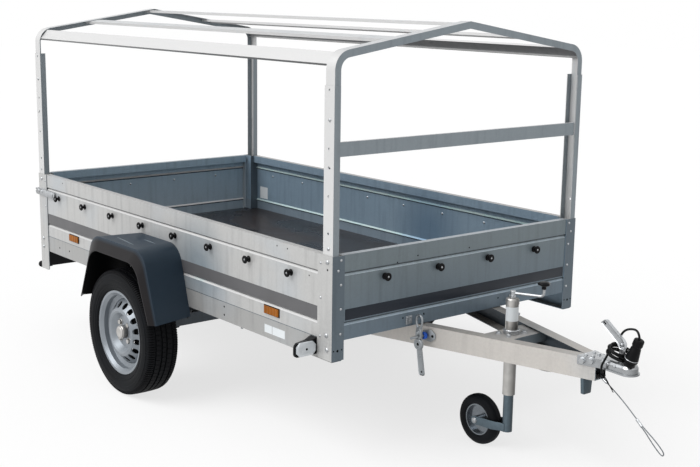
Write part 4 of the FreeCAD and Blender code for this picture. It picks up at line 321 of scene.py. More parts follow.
# black polyethylene of the fenders: a moulded skin tinted blue as a painted sky reflection, with a duller rim, and the
# inside of the arch darkened as painted shade
fenderFinish = {
    "skin": "#2A3743",
    "rim": "#161416",
    "rimStart": 838,
    "rimEnd": 846,
    "grain": 2.2,
    "under": "#040506",
    "wheelCentre": (-0.437, 0.0, 0.2735),
}


def mouldedFender():
    material, tree, shader, place = newMaterial("polyethyleneFender", fenderFinish["skin"], 0.42,
                                                Specular_IOR_Level=0.17)
    grain = noise(tree, place, 1000 / fenderFinish["grain"])
    patches = noise(tree, place, 6.0, 4.0)
    across = combine(tree, addNode(tree, "ShaderNodeSeparateXYZ", {0: place}).outputs["Y"], 0, "ABSOLUTE")
    rim = ramp(tree, across, fenderFinish["rimStart"] * mm, fenderFinish["rimEnd"] * mm)
    tone = blend(tree, rim, fenderFinish["skin"], fenderFinish["rim"])
    # painted shade: faces that look at the axle are the inside of the arch, and turn near black
    spoke = vectors(tree, "SUBTRACT", place, fenderFinish["wheelCentre"])
    away = vectors(tree, "NORMALIZE", vectors(tree, "MULTIPLY", spoke, (1.0, 0.0, 1.0)))
    outward = vectors(tree, "DOT_PRODUCT", away, addNode(tree, "ShaderNodeNewGeometry").outputs["Normal"])
    shaded = blend(tree, ramp(tree, outward, -0.25, -0.5), tone, fenderFinish["under"])
    wire(tree, shader, Normal=bump(tree, grain, 0.3, 0.0002),
         Base_Color=vectors(tree, "SCALE", shaded, ramp(tree, patches, 0, 1, 0.88, 1.14)),
         Roughness=ramp(tree, patches, 0, 1, 0.36, 0.5))
    return material


materials = {
    # after each sheet's side colour come painted shade tones for faces that look ahead, into the bed, to the rear, and
    # low on the front
    "sheet": galvanisedSheet("galvanisedSheet", "#B9B9B8", "#5C6871", "#869BAC",
                             lowInside=galvanised["lowBand"], paintedFenderShade=True),
    "tube": galvanisedSheet("galvanisedSection", "#DADCDE", "#868F95"),
    "frontSheet": galvanisedSheet("galvanisedFrontSheet", "#B4BCC2", "#727D82", "#8A9FB0", "#97A5AF", "#64737F"),
    "gateSheet": galvanisedSheet("galvanisedGateSheet", "#A8B0B6", "#9DB4C4", None, "#9AA7B0", "#B4C4D0"),
    "rail": galvanisedSheet("galvanisedRail", "#A3A3A2", "#5C6871", "#869BAC"),
    "arm": galvanisedSheet("galvanisedDrawbar", "#C2BEB9", "#7F8A91", "#39434B", None, None, 0.14),
    # the underframe's dark tones are painted shade for parts that lie under the bed
    "under": galvanisedSheet("galvanisedUnderframeInShade", "#4A5056", "#3A4249", None, None, None, 0.3),
    # the fifth value of a zinc row sets its painted shade on faces that look down, the sixth its painted reflection
    "zinc": zincPlate("zincPlatedSteel", "#C6C9CC", 0.3, 14, 0.62),
    "darkZinc": zincPlate("zincPlatedFittings", "#9FA4A8", 0.4),
    "tubeZinc": zincPlate("zincPlatedTube", "#BDBBB8", 0.3, 40, 0.95, 0.28),
    "headZinc": zincPlate("zincPlatedCoupling", "#C4C7CA", 0.2, 45, 0.45, 0.5),
    "rimZinc": zincPlate("chromedJockeyRim", "#7E848A", 0.2, 30),
    "dullSteel": zincPlate("phosphatedSteel", "#5F6D76", 0.45, 14, 0.9, 0.45),
    "floor": phenolicFloor(),
    "fender": mouldedFender(),
}
# plastics, rubbers and paints: name, colour, roughness, grain size, grain depth, soiled colour
grained = {
    # fender ribs: the fender's plastic lightened as a painted sheen along their crests
    "fenderRib": ("fenderRibPaintedSheen", "#58666F", 0.3, 2.2, 0.1, "#4A5761"),
    "tyre": ("tyreRubber", "#0A0C0F", 0.55, 3.0, 0.2, "#14171C"),
    "tread": ("treadRubber", "#090A0D", 0.6, 3.0, 0.3, "#111318"),
    "wheelPaint": ("silverWheelEnamel", "#8B9197", 0.36, 1.5, 0.03, "#767D84"),
    "rubber": ("blackRubber", "#060709", 0.4, 1.8, 0.1, "#0B0D10"),
    "plastic": ("blackLampHousing", "#08090C", 0.3, 1.2, 0.05, "#0E1014"),
    "shade": ("punchedHoleShade", "#08090A", 0.8, 1.2, 0.05, "#0D0E0F"),
    "amber": ("amberReflectorAcrylic", "#9C5A08", 0.3, 6.0, 0.2, "#5E3404"),
    "red": ("redLampAcrylic", "#A01010", 0.2, 6.0, 0.3, "#7E0A0A"),
    "white": ("clearLampAcrylic", "#C6CBCF", 0.16, 9.0, 3.2, "#9AA3AA"),
    "sheath": ("cableSheath", "#060708", 0.36, 2.0, 0.05, "#0C0D10"),
    "rope": ("steelWireRope", "#6E7377", 0.42, 1.4, 0.3, "#4C5054"),
    "vinyl": ("greyStripeFoil", "#565658", 0.4, 2.0, 0.03, "#48484A"),
    # the front stripe is the side stripe's foil in a darker copy, painted shade for the front face
    "frontVinylInShade": ("stripeFoilInPaintedShade", "#1D242E", 0.4, 2.0, 0.03, "#171D26"),
    "label": ("whiteFoilLabel", "#D7DCDF", 0.4, 2.0, 0.02, "#C6CBCE"),
    "blue": ("bluePolyamide", "#0F55C0", 0.4, 1.5, 0.05, "#0D49A8"),
}
shine = {"fenderRib": 0.4, "tyre": 0.1, "tread": 0.1, "rubber": 0.12, "plastic": 0.16, "shade": 0.1, "amber": 0.25,
         "sheath": 0.14, "frontVinylInShade": 0.25}
metallic = {"wheelPaint": 0.45, "rope": 0.8}
coated = {"red": 0.6, "white": 0.6}
for finish, values in grained.items():
    levels = {"Specular_IOR_Level": shine.get(finish, 0.5), "Coat_Weight": coated.get(finish, 0.0)}
    materials[finish] = grainedSurface(*values, metallic.get(finish, 0.0), **levels)

nodeFinish = {
    "rail": "chassis_rail_right chassis_rail_left",
    "sheet": "side_panel_right side_panel_left corner_post_front_right corner_post_front_left "
             "corner_post_rear_right corner_post_rear_left",
    "frontSheet": "front_panel front_sill",
    "gateSheet": "tailgate_panel",
    "tube": "frame_posts hoop_front hoop_rear roof_rails front_crossbar",
    "arm": "drawbar_arm_right drawbar_arm_left jockey_cross_plate",
    "under": "cross_members axle_beam drawbar_pivot pivot_plates",
    "zinc": "coupling_handle jockey_crank jockey_nut tailgate_latches",
    "headZinc": "coupling_head",
    "tubeZinc": "jockey_outer_tube",
    "rimZinc": "jockey_rim",
    "darkZinc": "tilt_latches bed_latch_hooks tailgate_hinges tailgate_hinge_pins wheel_hub_right wheel_hub_left",
    "dullSteel": "jockey_inner_tube jockey_fork drawbar_skid",
    "floor": "floor_board",
    "fender": "fender_right fender_left",
    "tyre": "wheel_tyre_right wheel_tyre_left jockey_tyre",
    "wheelPaint": "wheel_rim_right wheel_rim_left",
    "rubber": "rear_buffers tarp_knobs lead_clip lead_plug lead_coil",
    "plastic": "rear_light_board rear_lamps marker_lamps",
    "sheath": "lighting_lead",
    "rope": "safety_rope",
    "amber": "side_reflectors",
}
for finish, names in nodeFinish.items():
    for name in names.split():
        nodes[name].data.materials.clear()
        nodes[name].data.materials.append(materials[finish])
print("materials ready")


def joinSpot(form, other):
    # adds the faces of another form
    mesh = bpy.data.meshes.new("part")
    other.to_mesh(mesh)
    other.free()
    form.from_mesh(mesh)
    bpy.data.meshes.remove(mesh)


def turn(form, verts, centre, direction, roll=0.0):
    # points the form's own Z along direction and moves it to centre
    way = Vector(direction).to_track_quat("Z", "Y").to_matrix().to_4x4()
    bmesh.ops.transform(form, verts=verts, matrix=Matrix.Translation(centre) @ way @ Matrix.Rotation(roll, 4, "Z"))


def lathe(profile, steps=32):
    # spins (radius, along) points in mm about Z
    form = bmesh.new()
    verts = [form.verts.new((radius * mm, 0, along * mm)) for radius, along in profile]
    for first, last in zip(verts, verts[1:]):
        form.edges.new((first, last))
    bmesh.ops.spin(form, geom=form.verts[:] + form.edges[:], cent=(0, 0, 0), axis=(0, 0, 1),
                   angle=2 * math.pi, steps=steps, use_merge=True)
    bmesh.ops.remove_doubles(form, verts=form.verts[:], dist=0.00001)
    bmesh.ops.recalc_face_normals(form, faces=form.faces[:])
    return form


def plate(outline, thickness):
    # a flat sheet from an outline in mm, with its thickness upwards
    form = bmesh.new()
    face = form.faces.new([form.verts.new((x * mm, y * mm, 0)) for x, y in outline])
    raised = bmesh.ops.extrude_face_region(form, geom=[face])["geom"]
    bmesh.ops.translate(form, verts=[v for v in raised if isinstance(v, bmesh.types.BMVert)],
                        vec=(0, 0, thickness * mm))
    bmesh.ops.recalc_face_normals(form, faces=form.faces[:])
    return form


def block(low, high):
    # a box between two corners
    form = bmesh.new()
    bmesh.ops.create_cube(form, size=1)
    low, high = Vector(low), Vector(high)
    bmesh.ops.scale(form, verts=form.verts[:], vec=high - low)
    bmesh.ops.translate(form, verts=form.verts[:], vec=(low + high) / 2)
    return form


def soften(form, offset, segments=2, limit=30):
    sharp = [e for e in form.edges if e.is_manifold and e.calc_face_angle(0) > math.radians(limit)]
    bmesh.ops.bevel(form, geom=sharp, offset=offset * mm, affect="EDGES", segments=segments, profile=0.5, material=-1)
    return form


def slab(rear, front, inner, outer, low, high):
    # a box between two stations, two distances from the centre plane and two heights
    near, far = sorted((inner, outer))
    return block(spot(rear, near, low), spot(front, far, high))


def lay(form, place, rows):
    # moves a form to a place, turned by the rows of a matrix
    bmesh.ops.transform(form, verts=form.verts[:], matrix=Matrix.Translation(place) @ Matrix(rows).to_4x4())
    bmesh.ops.recalc_face_normals(form, faces=form.faces[:])
    return form


def upright(outline, thickness, side, place):
    # a sheet that stands along the bed, from stations and heights, with its thickness towards the side
    return lay(plate(outline, thickness), place, ((1, 0, 0), (0, 0, side), (0, 1, 0)))


def sink(form, way, rim, depth):
    # lowers the face that lies farthest out along way, inside a rim
    face = max(form.faces, key=lambda f: f.calc_center_median().dot(Vector(way)))
    bmesh.ops.inset_region(form, faces=[face], thickness=rim * mm, depth=0)
    bmesh.ops.translate(form, verts=face.verts[:], vec=-Vector(way) * depth * mm)


def around(form, copies):
    # repeats the form in equal turns about Z
    mesh = bpy.data.meshes.new("turns")
    form.to_mesh(mesh)
    form.free()
    whole = bmesh.new()
    for i in range(copies):
        first = len(whole.verts)
        whole.from_mesh(mesh)
        whole.verts.ensure_lookup_table()
        bmesh.ops.rotate(whole, verts=whole.verts[first:], cent=(0, 0, 0),
                         matrix=Matrix.Rotation(2 * math.pi / copies * i, 3, "Z"))
    bpy.data.meshes.remove(mesh)
    return whole


def roundCurve(name, points, radius, closed=False, resolution=5, facets=3):
    # a round bar along a smooth line through the points, in metres
    curve = bpy.data.curves.new(name, "CURVE")
    curve.dimensions = "3D"
    spline = curve.splines.new("NURBS")
    spline.points.add(len(points) - 1)
    for target, point in zip(spline.points, points):
        target.co = (*point, 1)
    spline.order_u = 3
    spline.use_cyclic_u = closed
    spline.use_endpoint_u = not closed
    spline.resolution_u = resolution
    curve.bevel_depth = radius * mm
    curve.bevel_resolution = facets
    curve.use_fill_caps = not closed
    return curve


def rodForm(points, radius, closed=False):
    curve = roundCurve("rod", points, radius, closed)
    holder = bpy.data.objects.new("rod", curve)
    mesh = bpy.data.meshes.new_from_object(holder)
    form = bmesh.new()
    form.from_mesh(mesh)
    bmesh.ops.remove_doubles(form, verts=form.verts[:], dist=0.000005)
    bmesh.ops.recalc_face_normals(form, faces=form.faces[:])
    bpy.data.objects.remove(holder)
    bpy.data.curves.remove(curve)
    bpy.data.meshes.remove(mesh)
    return form


def domeHead(radius, height):
    return lathe([(0, -0.2), (radius, -0.2), (radius, height * 0.3), (radius * 0.9, height * 0.66),
                  (radius * 0.6, height * 0.92), (0, height)], 14)


def hexHead(across, height, washer=0.0):
    # hexagon head with a chamfered top, on a washer where it has one
    corner = across / math.sqrt(3)
    head = lathe([(0, -0.2), (corner, -0.2), (corner, height * 0.82), (corner * 0.88, height), (0, height)], 6)
    if washer:
        joinSpot(head, lathe([(0, -0.2), (washer, -0.2), (washer, 1.2), (washer - 0.7, 1.8), (0, 1.8)], 20))
    return head


# a thin dark disc: painted shade that stands for a hole
def shadeDisc(radius):
    return lathe([(0, -0.2), (radius, -0.2), (radius, 0.15), (radius - 0.5, 0.3), (0, 0.3)], 14)


def setOn(form, maker, sizes, places, direction, roll=0.0):
    # one copy of a small part at every place, standing out along direction
    for place in places:
        part = maker(*sizes)
        turn(part, part.verts[:], place, direction, roll)
        joinSpot(form, part)


def addPiece(name, data, finish, body):
    data.materials.append(materials[finish])
    piece = bpy.data.objects.new(name, data)
    bpy.context.scene.collection.objects.link(piece)
    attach(piece, body)
    return piece


def finishPiece(form, name, finish, body, edge=0.0, smoothBelow=35):
    if edge:
        soften(form, edge)
    mesh = bpy.data.meshes.new(name)
    form.to_mesh(mesh)
    form.free()
    mesh.polygons.foreach_set("use_smooth", [True] * len(mesh.polygons))
    mesh.set_sharp_from_angle(angle=math.radians(smoothBelow))
    return addPiece(name, mesh, finish, body)


def metalPiece(form, name, body, finish="zinc"):
    return finishPiece(form, name, finish, body, smoothBelow=40)


# lighting lead and safety rope, on the same points as the source, from the coupling ball
ball = Vector(frame["record"]["mounts"][0]["pos_m"])


def fromBall(point):
    return ball + Vector(point) * mm


leadRoute = {
    "diameter": 8.0,
    "toCoil": [(-484, -98, -18), (-448, -73, -36), (-406, -49, -62), (-356, -36, -75), (-300, -24, -69),
               (-252, -6, -60), (-214, 0, -46), (-172, -2, -37), (-136, -3, -35), (-110, -6, -33),
               (-90, -20, -26), (-84, -38, -10), (-83, -43, 12), (-76, -36, 32), (-68, -31, 53.7)],
    "toPlug": [(-65.2, 24, 84.7), (-65, 28, 110), (-50, 27, 132), (-26, 19, 145), (-1, 6, 153), (21, -5, 158),
               (36, -12.5, 156), (47, -18, 147), (51.6, -20.3, 133)],
    "coilCentre": (-44, 0, 61),
    "coilTilt": 20,
    "coilRadius": 37.5,
    "turns": 4,
    "turnPoints": 12,
    "startAngle": -158,
    "rise": 7.6,
    "wander": 0.09,
}


def coilPoints():
    # turns of the lead, each beside the one before, between its two ends
    tilt = Matrix.Rotation(math.radians(leadRoute["coilTilt"]), 3, "Y")
    perTurn = leadRoute["turnPoints"]
    count = leadRoute["turns"] * perTurn + 2
    radius = leadRoute["coilRadius"] / math.cos(math.pi / perTurn)
    points = []
    for i in range(count):
        angle = math.radians(leadRoute["startAngle"] - 360 / perTurn * i)
        height = leadRoute["rise"] * (i - (count - 1) / 2) / perTurn
        wide = radius * (1 + leadRoute["wander"] * math.sin(i * 1.27))
        turned = tilt @ Vector((wide * math.cos(angle), wide * math.sin(angle), height))
        points.append(Vector(leadRoute["coilCentre"]) + turned)
    return points


def cordPiece(name, points, diameter, finish):
    curve = roundCurve(name, [fromBall(point) for point in points], diameter / 2, False, 6, 4)
    return addPiece(name, curve, finish, "drawbar")


def splineLength(piece):
    bpy.context.view_layer.update()
    copy = piece.data.copy()
    copy.bevel_depth = 0
    line = bpy.data.objects.new("line", copy)
    mesh = bpy.data.meshes.new_from_object(line)
    spots = [v.co.copy() for v in mesh.vertices]
    bpy.data.objects.remove(line)
    return sum((b - a).length for a, b in zip(spots, spots[1:]))


# plug of the lead: fluted grip, a pale seal ring round its contact end and a ribbed cap nut
plug = {
    "tip": (17, -22, 37),
    "top": (51.6, -20.3, 133),
    "length": 104,
    "body": [(0, 1), (15.5, 1), (15.5, 0), (19, 0), (19.8, 1), (19.8, 13.5), (18.8, 14.4), (18.8, 15.6), (23, 17.6),
             (24.2, 19), (24.3, 25), (23.6, 27), (22.9, 34), (17.6, 69), (16.4, 71.4), (15.8, 74), (15.8, 77.6),
             (17.4, 78.6), (18.3, 80.4), (18.3, 99.5), (17, 102), (14, 103.6), (6, 103.8), (0, 103.8)],
    "fluted": ((30, 68, 10, 0.035), (79, 101, 16, 0.06)),
    "seal": [(22, 25.6), (24.1, 25.9), (24.6, 27), (24.1, 28.1), (22, 28.4), (22, 25.6)],
}


def plugForm():
    tip, top = Vector(plug["tip"]), Vector(plug["top"])
    foot = ball + (top - (top - tip).normalized() * plug["length"]) * mm
    form, seal = lathe(plug["body"], 96), lathe(plug["seal"], 48)
    for vert in form.verts:
        along, angle = vert.co.z / mm, math.atan2(vert.co.y, vert.co.x)
        for low, high, count, depth in plug["fluted"]:
            if low < along < high:
                vert.co.xy *= 1 - depth * max(0.0, math.cos(count * angle))
    turn(form, form.verts[:], foot, top - tip)
    turn(seal, seal.verts[:], foot, top - tip)
    body = finishPiece(form, "leadPlug", "rubber", "drawbar", smoothBelow=40)
    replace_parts(body, "lead_plug")
    return [body, finishPiece(seal, "plugSeal", "zinc", "drawbar")]


leadPoints = leadRoute["toCoil"] + [tuple(p) for p in coilPoints()] + leadRoute["toPlug"]
lead = cordPiece("lightingLead", leadPoints, leadRoute["diameter"], "sheath")
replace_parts(lead, "lighting_lead", "lead_coil")
splineLength(lead)
plugForm()

ropeRoute = {
    "diameter": 4.0,
    "rope": [(-85, -28, -36.5), (-33, -28, -67), (16, -28, -100), (68, -28, -141)],
    "eye": [(85, -28, -153), (112, -28, -171), (141, -28, -189), (167, -28, -209), (183.5, -28, -224.5),
            (181, -28, -235.5), (170, -28, -233.5), (151, -28, -219), (126, -28, -196.5), (104, -28, -174.5),
            (81.5, -28, -156.5)],
    "ferrules": [((-83, -28, -37.7), (-66, -28, -47.6)), ((66, -28, -139.4), (90, -28, -160))],
    "ferrule": (4.6, 5.5, 4.9),
}


def ferrules():
    # crimped sleeves, waisted in their middle
    form = bmesh.new()
    end, wide, waist = ropeRoute["ferrule"]
    for start, stop in ropeRoute["ferrules"]:
        way = Vector(stop) - Vector(start)
        length = way.length
        profile = [(2, 0), (end, 0), (wide, 1.2), (wide, length * 0.3), (waist, length * 0.5), (wide, length * 0.7),
                   (wide, length - 1.2), (end, length), (2, length)]
        setOn(form, lathe, (profile, 20), [fromBall(start)], way)
    return finishPiece(form, "ropeFerrules", "zinc", "drawbar")


rope = cordPiece("safetyRope", ropeRoute["rope"] + ropeRoute["eye"], ropeRoute["diameter"], "rope")
sleeves = ferrules()
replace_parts(rope, "safety_rope")
splineLength(rope)
print("cords ready")

# outer faces of the bed: side sheets from the centre plane, front sheet from the rear
sideFace, frontFace = 647, 2387

# foil stripes and blank foil labels on the sheet metal; the lettering is left off
foil = {
    "thickness": 0.3,
    "sideStripe": (85.6, 2304.5, 560, 610),
    "frontStripe": (-588, 588, 564, 605),
    "railLabels": ((1971, 2020, 436, 468), (2023, 2103, 436, 468)),
    "innerFace": 645,
    "innerLabel": (91, 164, 566, 632),
    "edge": 0.12,
}


def foilOn(bounds, y, outward):
    rear, front, low, high = bounds
    return soften(slab(rear, front, y, y + outward * foil["thickness"], low, high), foil["edge"], 1)


sideStripes = bmesh.new()
for side in sides:
    joinSpot(sideStripes, foilOn(foil["sideStripe"], side * sideFace, side))
finishPiece(sideStripes, "sideStripes", "vinyl", "bed")
frontStripe = slab(frontFace, frontFace + foil["thickness"], *foil["frontStripe"])
finishPiece(frontStripe, "frontStripe", "frontVinylInShade", "bed", edge=foil["edge"])
labels = bmesh.new()
for bounds in foil["railLabels"]:
    joinSpot(labels, foilOn(bounds, -sideFace, -1))
joinSpot(labels, foilOn(foil["innerLabel"], foil["innerFace"], -1))
finishPiece(labels, "blankLabels", "label", "bed")

# painted shadow: a dark strip where the side sheet laps the chassis rail
lapShadow = {"rear": 85.6, "front": 2304.5, "height": 494, "half": 0.9, "proud": 0.4}
lapShadowLines = bmesh.new()
for side in sides:
    joinSpot(lapShadowLines, slab(lapShadow["rear"], lapShadow["front"], side * sideFace, side * (sideFace + lapShadow["proud"]),
                            lapShadow["height"] - lapShadow["half"], lapShadow["height"] + lapShadow["half"]))
finishPiece(lapShadowLines, "panelLapShadows", "dullSteel", "bed")

# bolts, rivets and punched holes of the bed, the holes as dark discs of painted shade: sizes, then station, distance
# from the centre plane, height
bedBolts = {
    "sideDomes": [
        ((8.5, 5), [(2362, 650, 781.8), (2360.4, 650, 512.8), (2363.6, 650, 459.3), (33, 650, 476),
                    (33, 650, 433.5), (33, 650, 781)]),
        ((5, 2.4), [(2321.6, 650, 773), (2323.6, 650, 645.8), (2321.4, 650, 502.8), (70, 650, 645.8),
                    (70, 650, 773)]),
        ((6.5, 4), [(2362, 647, 1286), (30, 647, 1278), (2362, 647, 830), (30, 647, 830)]),
    ],
    "frontDomes": ((5, 2.6), [(2390, 610.5, 788.7), (2390, 610.5, 699.3), (2390, 610.5, 610.1),
                              (2390, 610.5, 517.9), (2390, 623, 752)]),
    "braceNut": ((11, 4, 8), [(2377, 628, 1208)]),
    "braceDome": ((7, 4), [(2382, 637, 1183)]),
    "tip": [(0, 0), (9, 0), (9, 5), (5, 5), (5, 16), (4, 17.5), (0, 17.5)],
    "tipPlace": [(1779.8, 622, 416)],
    "frontHoles": [(2390, 641, 458.5, 3.2), (2390, 622.7, 457, 5), (2390, 603.3, 459, 3.2)],
    "sideHoles": [(2361.7, 650, 754, 4), (2051.4, 647, 788, 3), (2117, 647, 788, 3), (2251, 647, 713, 3),
                  (1689.5, 647, 474.5, 4.5), (1689.5, 647, 440.2, 4.5), (205.7, 647, 454, 4.5),
                  (311.4, 647, 455.5, 4.5), (260, 647, 785.5, 3), (2364, 647, 1118, 3.4), (22, 647, 1113, 3.4),
                  (2364, 647, 760, 3), (22, 647, 762, 3)],
    "panelHoles": [(2387, -341.5, 745.4, 3), (2387, -239.8, 759, 3), (2387, 29.3, 755.6, 3), (2387, -201, 525.5, 3)],
}


def bedFasteners():
    form = bmesh.new()
    for side in sides:
        rows = [(domeHead, row, (0, side, 0)) for row in bedBolts["sideDomes"]]
        rows += [(domeHead, bedBolts["frontDomes"], (1, 0, 0)),
                 (lathe, ((bedBolts["tip"], 12), bedBolts["tipPlace"]), (0, 0, -1)),
                 (hexHead, bedBolts["braceNut"], (0, 0, 1)), (domeHead, bedBolts["braceDome"], (1, 0, 0))]
        for maker, (sizes, places), way in rows:
            setOn(form, maker, sizes, mirrored(side, places), way)
    return metalPiece(form, "bedFasteners", "bed")


def bedHoles():
    form = bmesh.new()
    for side in sides:
        for name, way in (("sideHoles", (0, side, 0)), ("frontHoles", (1, 0, 0))):
            for x, y, z, radius in bedBolts[name]:
                setOn(form, shadeDisc, (radius,), [spot(x, side * y, z)], way)
    for x, y, z, radius in bedBolts["panelHoles"]:
        setOn(form, shadeDisc, (radius,), [spot(x, y, z)], (1, 0, 0))
    return finishPiece(form, "punchedHoles", "shade", "bed")


bedFasteners()
bedHoles()
print("foils and fasteners ready")

# tarpaulin knobs: moulded mushrooms on a washer, held by a rivet, with a nut inside the sheet
knobs = {
    "height": 703,
    "stations": [215 + 275 * i for i in range(8)],
    "across": (-402, -134, 134, 402),
    "profile": [(0, -0.2), (13, -0.2), (13, 1.6), (8.5, 2.6), (6.8, 5), (6.4, 10), (7.5, 13), (13, 15), (15.6, 17.4),
                (15.8, 19.6), (14.6, 22), (12, 23.4), (8.4, 23.8), (6, 22.4), (5, 20.6), (0, 20.4)],
    "rivet": (4.2, 2.2),
    "rivetSeat": 20.6,
    "nut": (5.5, 4),
    "sheet": 2,
}


def knobSet(stations, across, endFace, endWay, name, body):
    caps, rivets = bmesh.new(), bmesh.new()
    places = [(spot(x, side * sideFace, knobs["height"]), (0, side, 0)) for x in stations for side in sides]
    places += [(spot(endFace, y, knobs["height"]), (endWay, 0, 0)) for y in across]
    for place, way in places:
        out = Vector(way)
        setOn(caps, lathe, (knobs["profile"], 24), [place], way)
        setOn(rivets, domeHead, knobs["rivet"], [place + out * knobs["rivetSeat"] * mm], way)
        setOn(rivets, domeHead, knobs["nut"], [place - out * knobs["sheet"] * mm], -out)
    cap = finishPiece(caps, name, "rubber", body, smoothBelow=50)
    finishPiece(rivets, name + "Rivets", "zinc", body)
    return cap


bedKnobs = knobSet(knobs["stations"], knobs["across"], frontFace, 1, "tarpKnobs", "bed")
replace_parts(bedKnobs, "tarp_knobs")
knobSet([], knobs["across"], 0, -1, "gateKnobs", "tailgate")

# amber side reflectors: a black tray and a lens with upright flutes
reflector = {
    "stations": (321, 1970),
    "length": 100,
    "low": 511,
    "high": 547,
    "tray": 3,
    "groove": 6.2,
    "crest": 8.6,
    "flutes": 5,
    "border": 3,
}


def reflectors():
    trays, lenses = bmesh.new(), bmesh.new()
    border, tray, low, high = (reflector[k] for k in ("border", "tray", "low", "high"))
    inner = reflector["length"] - 2 * border
    width = inner / reflector["flutes"]
    outline = [(0, -tray)]
    for i in range(reflector["flutes"]):
        start = width * i
        outline += [(start + 1.5, -reflector["groove"]), (start + width * 0.3, -reflector["crest"]),
                    (start + width * 0.7, -reflector["crest"]), (start + width - 1.5, -reflector["groove"])]
    outline += [(inner, -tray)]
    for station in reflector["stations"]:
        for side in sides:
            back = slab(station, station + reflector["length"], side * sideFace, side * (sideFace + tray), low, high)
            joinSpot(trays, soften(back, 1.2))
            lens = plate(outline, high - low - 2 * border)
            if side > 0:
                bmesh.ops.rotate(lens, verts=lens.verts[:], cent=(inner / 2 * mm, 0, 0),
                                 matrix=Matrix.Rotation(math.pi, 3, "Z"))
            bmesh.ops.translate(lens, verts=lens.verts[:], vec=spot(station + border, side * sideFace, low + border))
            joinSpot(lenses, soften(lens, 0.8, 1))
    tray = finishPiece(trays, "reflectorTrays", "plastic", "bed")
    lens = finishPiece(lenses, "reflectorLenses", "amber", "bed", smoothBelow=25)
    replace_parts(tray, "side_reflectors")
    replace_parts(lens, "side_reflectors")


reflectors()

# clear octagonal lenses on the marker lamps, with a reflex dimple and two screws
markerLens = {
    "station": 2300,
    "inner": 657,
    "outer": 742,
    "low": 432,
    "high": 484,
    "cut": 14,
    "depth": 8,
    "crown": 3,
    "rim": 9,
    "dimple": (7, 1.5),
    "screwShift": (27, 6),
}


def markerLenses():
    lenses, screws = bmesh.new(), bmesh.new()
    inner, outer, low, high, cut = (markerLens[k] for k in ("inner", "outer", "low", "high", "cut"))
    outline = [(inner + cut, low), (outer - cut, low), (outer, low + cut), (outer, high - cut), (outer - cut, high),
               (inner + cut, high), (inner, high - cut), (inner, low + cut)]
    front = markerLens["station"] + markerLens["depth"] + markerLens["crown"]
    middle, height = (inner + outer) / 2, (low + high) / 2
    for side in sides:
        lens = plate([(side * y, z) for y, z in outline], markerLens["depth"])
        top = max(lens.faces, key=lambda face: face.calc_center_median().z)
        bmesh.ops.inset_region(lens, faces=[top], thickness=markerLens["rim"] * mm, depth=0)
        bmesh.ops.translate(lens, verts=top.verts[:], vec=(0, 0, markerLens["crown"] * mm))
        rim, depth = markerLens["dimple"]
        bmesh.ops.inset_region(lens, faces=[top], thickness=rim * mm, depth=-depth * mm)
        # the outline's two directions become across and up, and its thickness points ahead
        lay(lens, spot(markerLens["station"], 0, 0), ((0, 0, 1), (1, 0, 0), (0, 1, 0)))
        joinSpot(lenses, soften(lens, 1.2, 2, 20))
        setOn(screws, domeHead, (4.5, 1.6), [spot(front - 1.6, side * middle, height)], (1, 0, 0))
        y, z = markerLens["screwShift"]
        setOn(screws, shadeDisc, (2.4,), [spot(front - 2, side * (middle + way * y), height + way * z)
                                          for way in sides], (1, 0, 0))
    finishPiece(lenses, "markerLenses", "white", "bed", smoothBelow=20)
    finishPiece(screws, "markerLensScrews", "shade", "bed")


markerLenses()

# rear lamps: a black tray with red, amber and clear chambers side by side
rearLamp = {
    "rear": 1,
    "front": 42,
    "tray": 12,
    "low": 335,
    "high": 411,
    "chambers": (("red", 440, 502), ("amber", 505, 546), ("white", 549, 590)),
    "border": 4,
    "gap": 2,
}


def rearLamps():
    trays = bmesh.new()
    forms = {finish: bmesh.new() for finish, inner, outer in rearLamp["chambers"]}
    low, high, border, gap = (rearLamp[k] for k in ("low", "high", "border", "gap"))
    first, last = rearLamp["chambers"][0][1], rearLamp["chambers"][-1][2]
    for side in sides:
        joinSpot(trays, soften(slab(rearLamp["tray"], rearLamp["front"], side * first, side * last, low, high), 4, 3))
        for finish, inner, outer in rearLamp["chambers"]:
            lens = slab(rearLamp["rear"], rearLamp["tray"] + 1, side * (inner + gap), side * (outer - gap),
                        low + border, high - border)
            joinSpot(forms[finish], soften(lens, 3, 3))
    tray = finishPiece(trays, "rearLampTrays", "plastic", "bed")
    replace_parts(tray, "rear_lamps")
    for finish, form in forms.items():
        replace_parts(finishPiece(form, finish + "LampLenses", finish, "bed"), "rear_lamps")


rearLamps()

# ribbed rubber buffers behind the rear posts
buffers = bmesh.new()
setOn(buffers, lathe, ([(0, 0), (16, 0), (16, 9), (12.5, 13), (12.5, 17), (15.5, 20), (12.5, 23), (15.5, 27),
                        (12.5, 31), (15.8, 35), (15.8, 43), (13.5, 46.8), (0, 46.8)], 28),
      [spot(0, side * 634, 326) for side in sides], (-1, 0, 0))
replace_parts(finishPiece(buffers, "rearBuffers", "rubber", "bed"), "rear_buffers")
print("lamps and knobs ready")

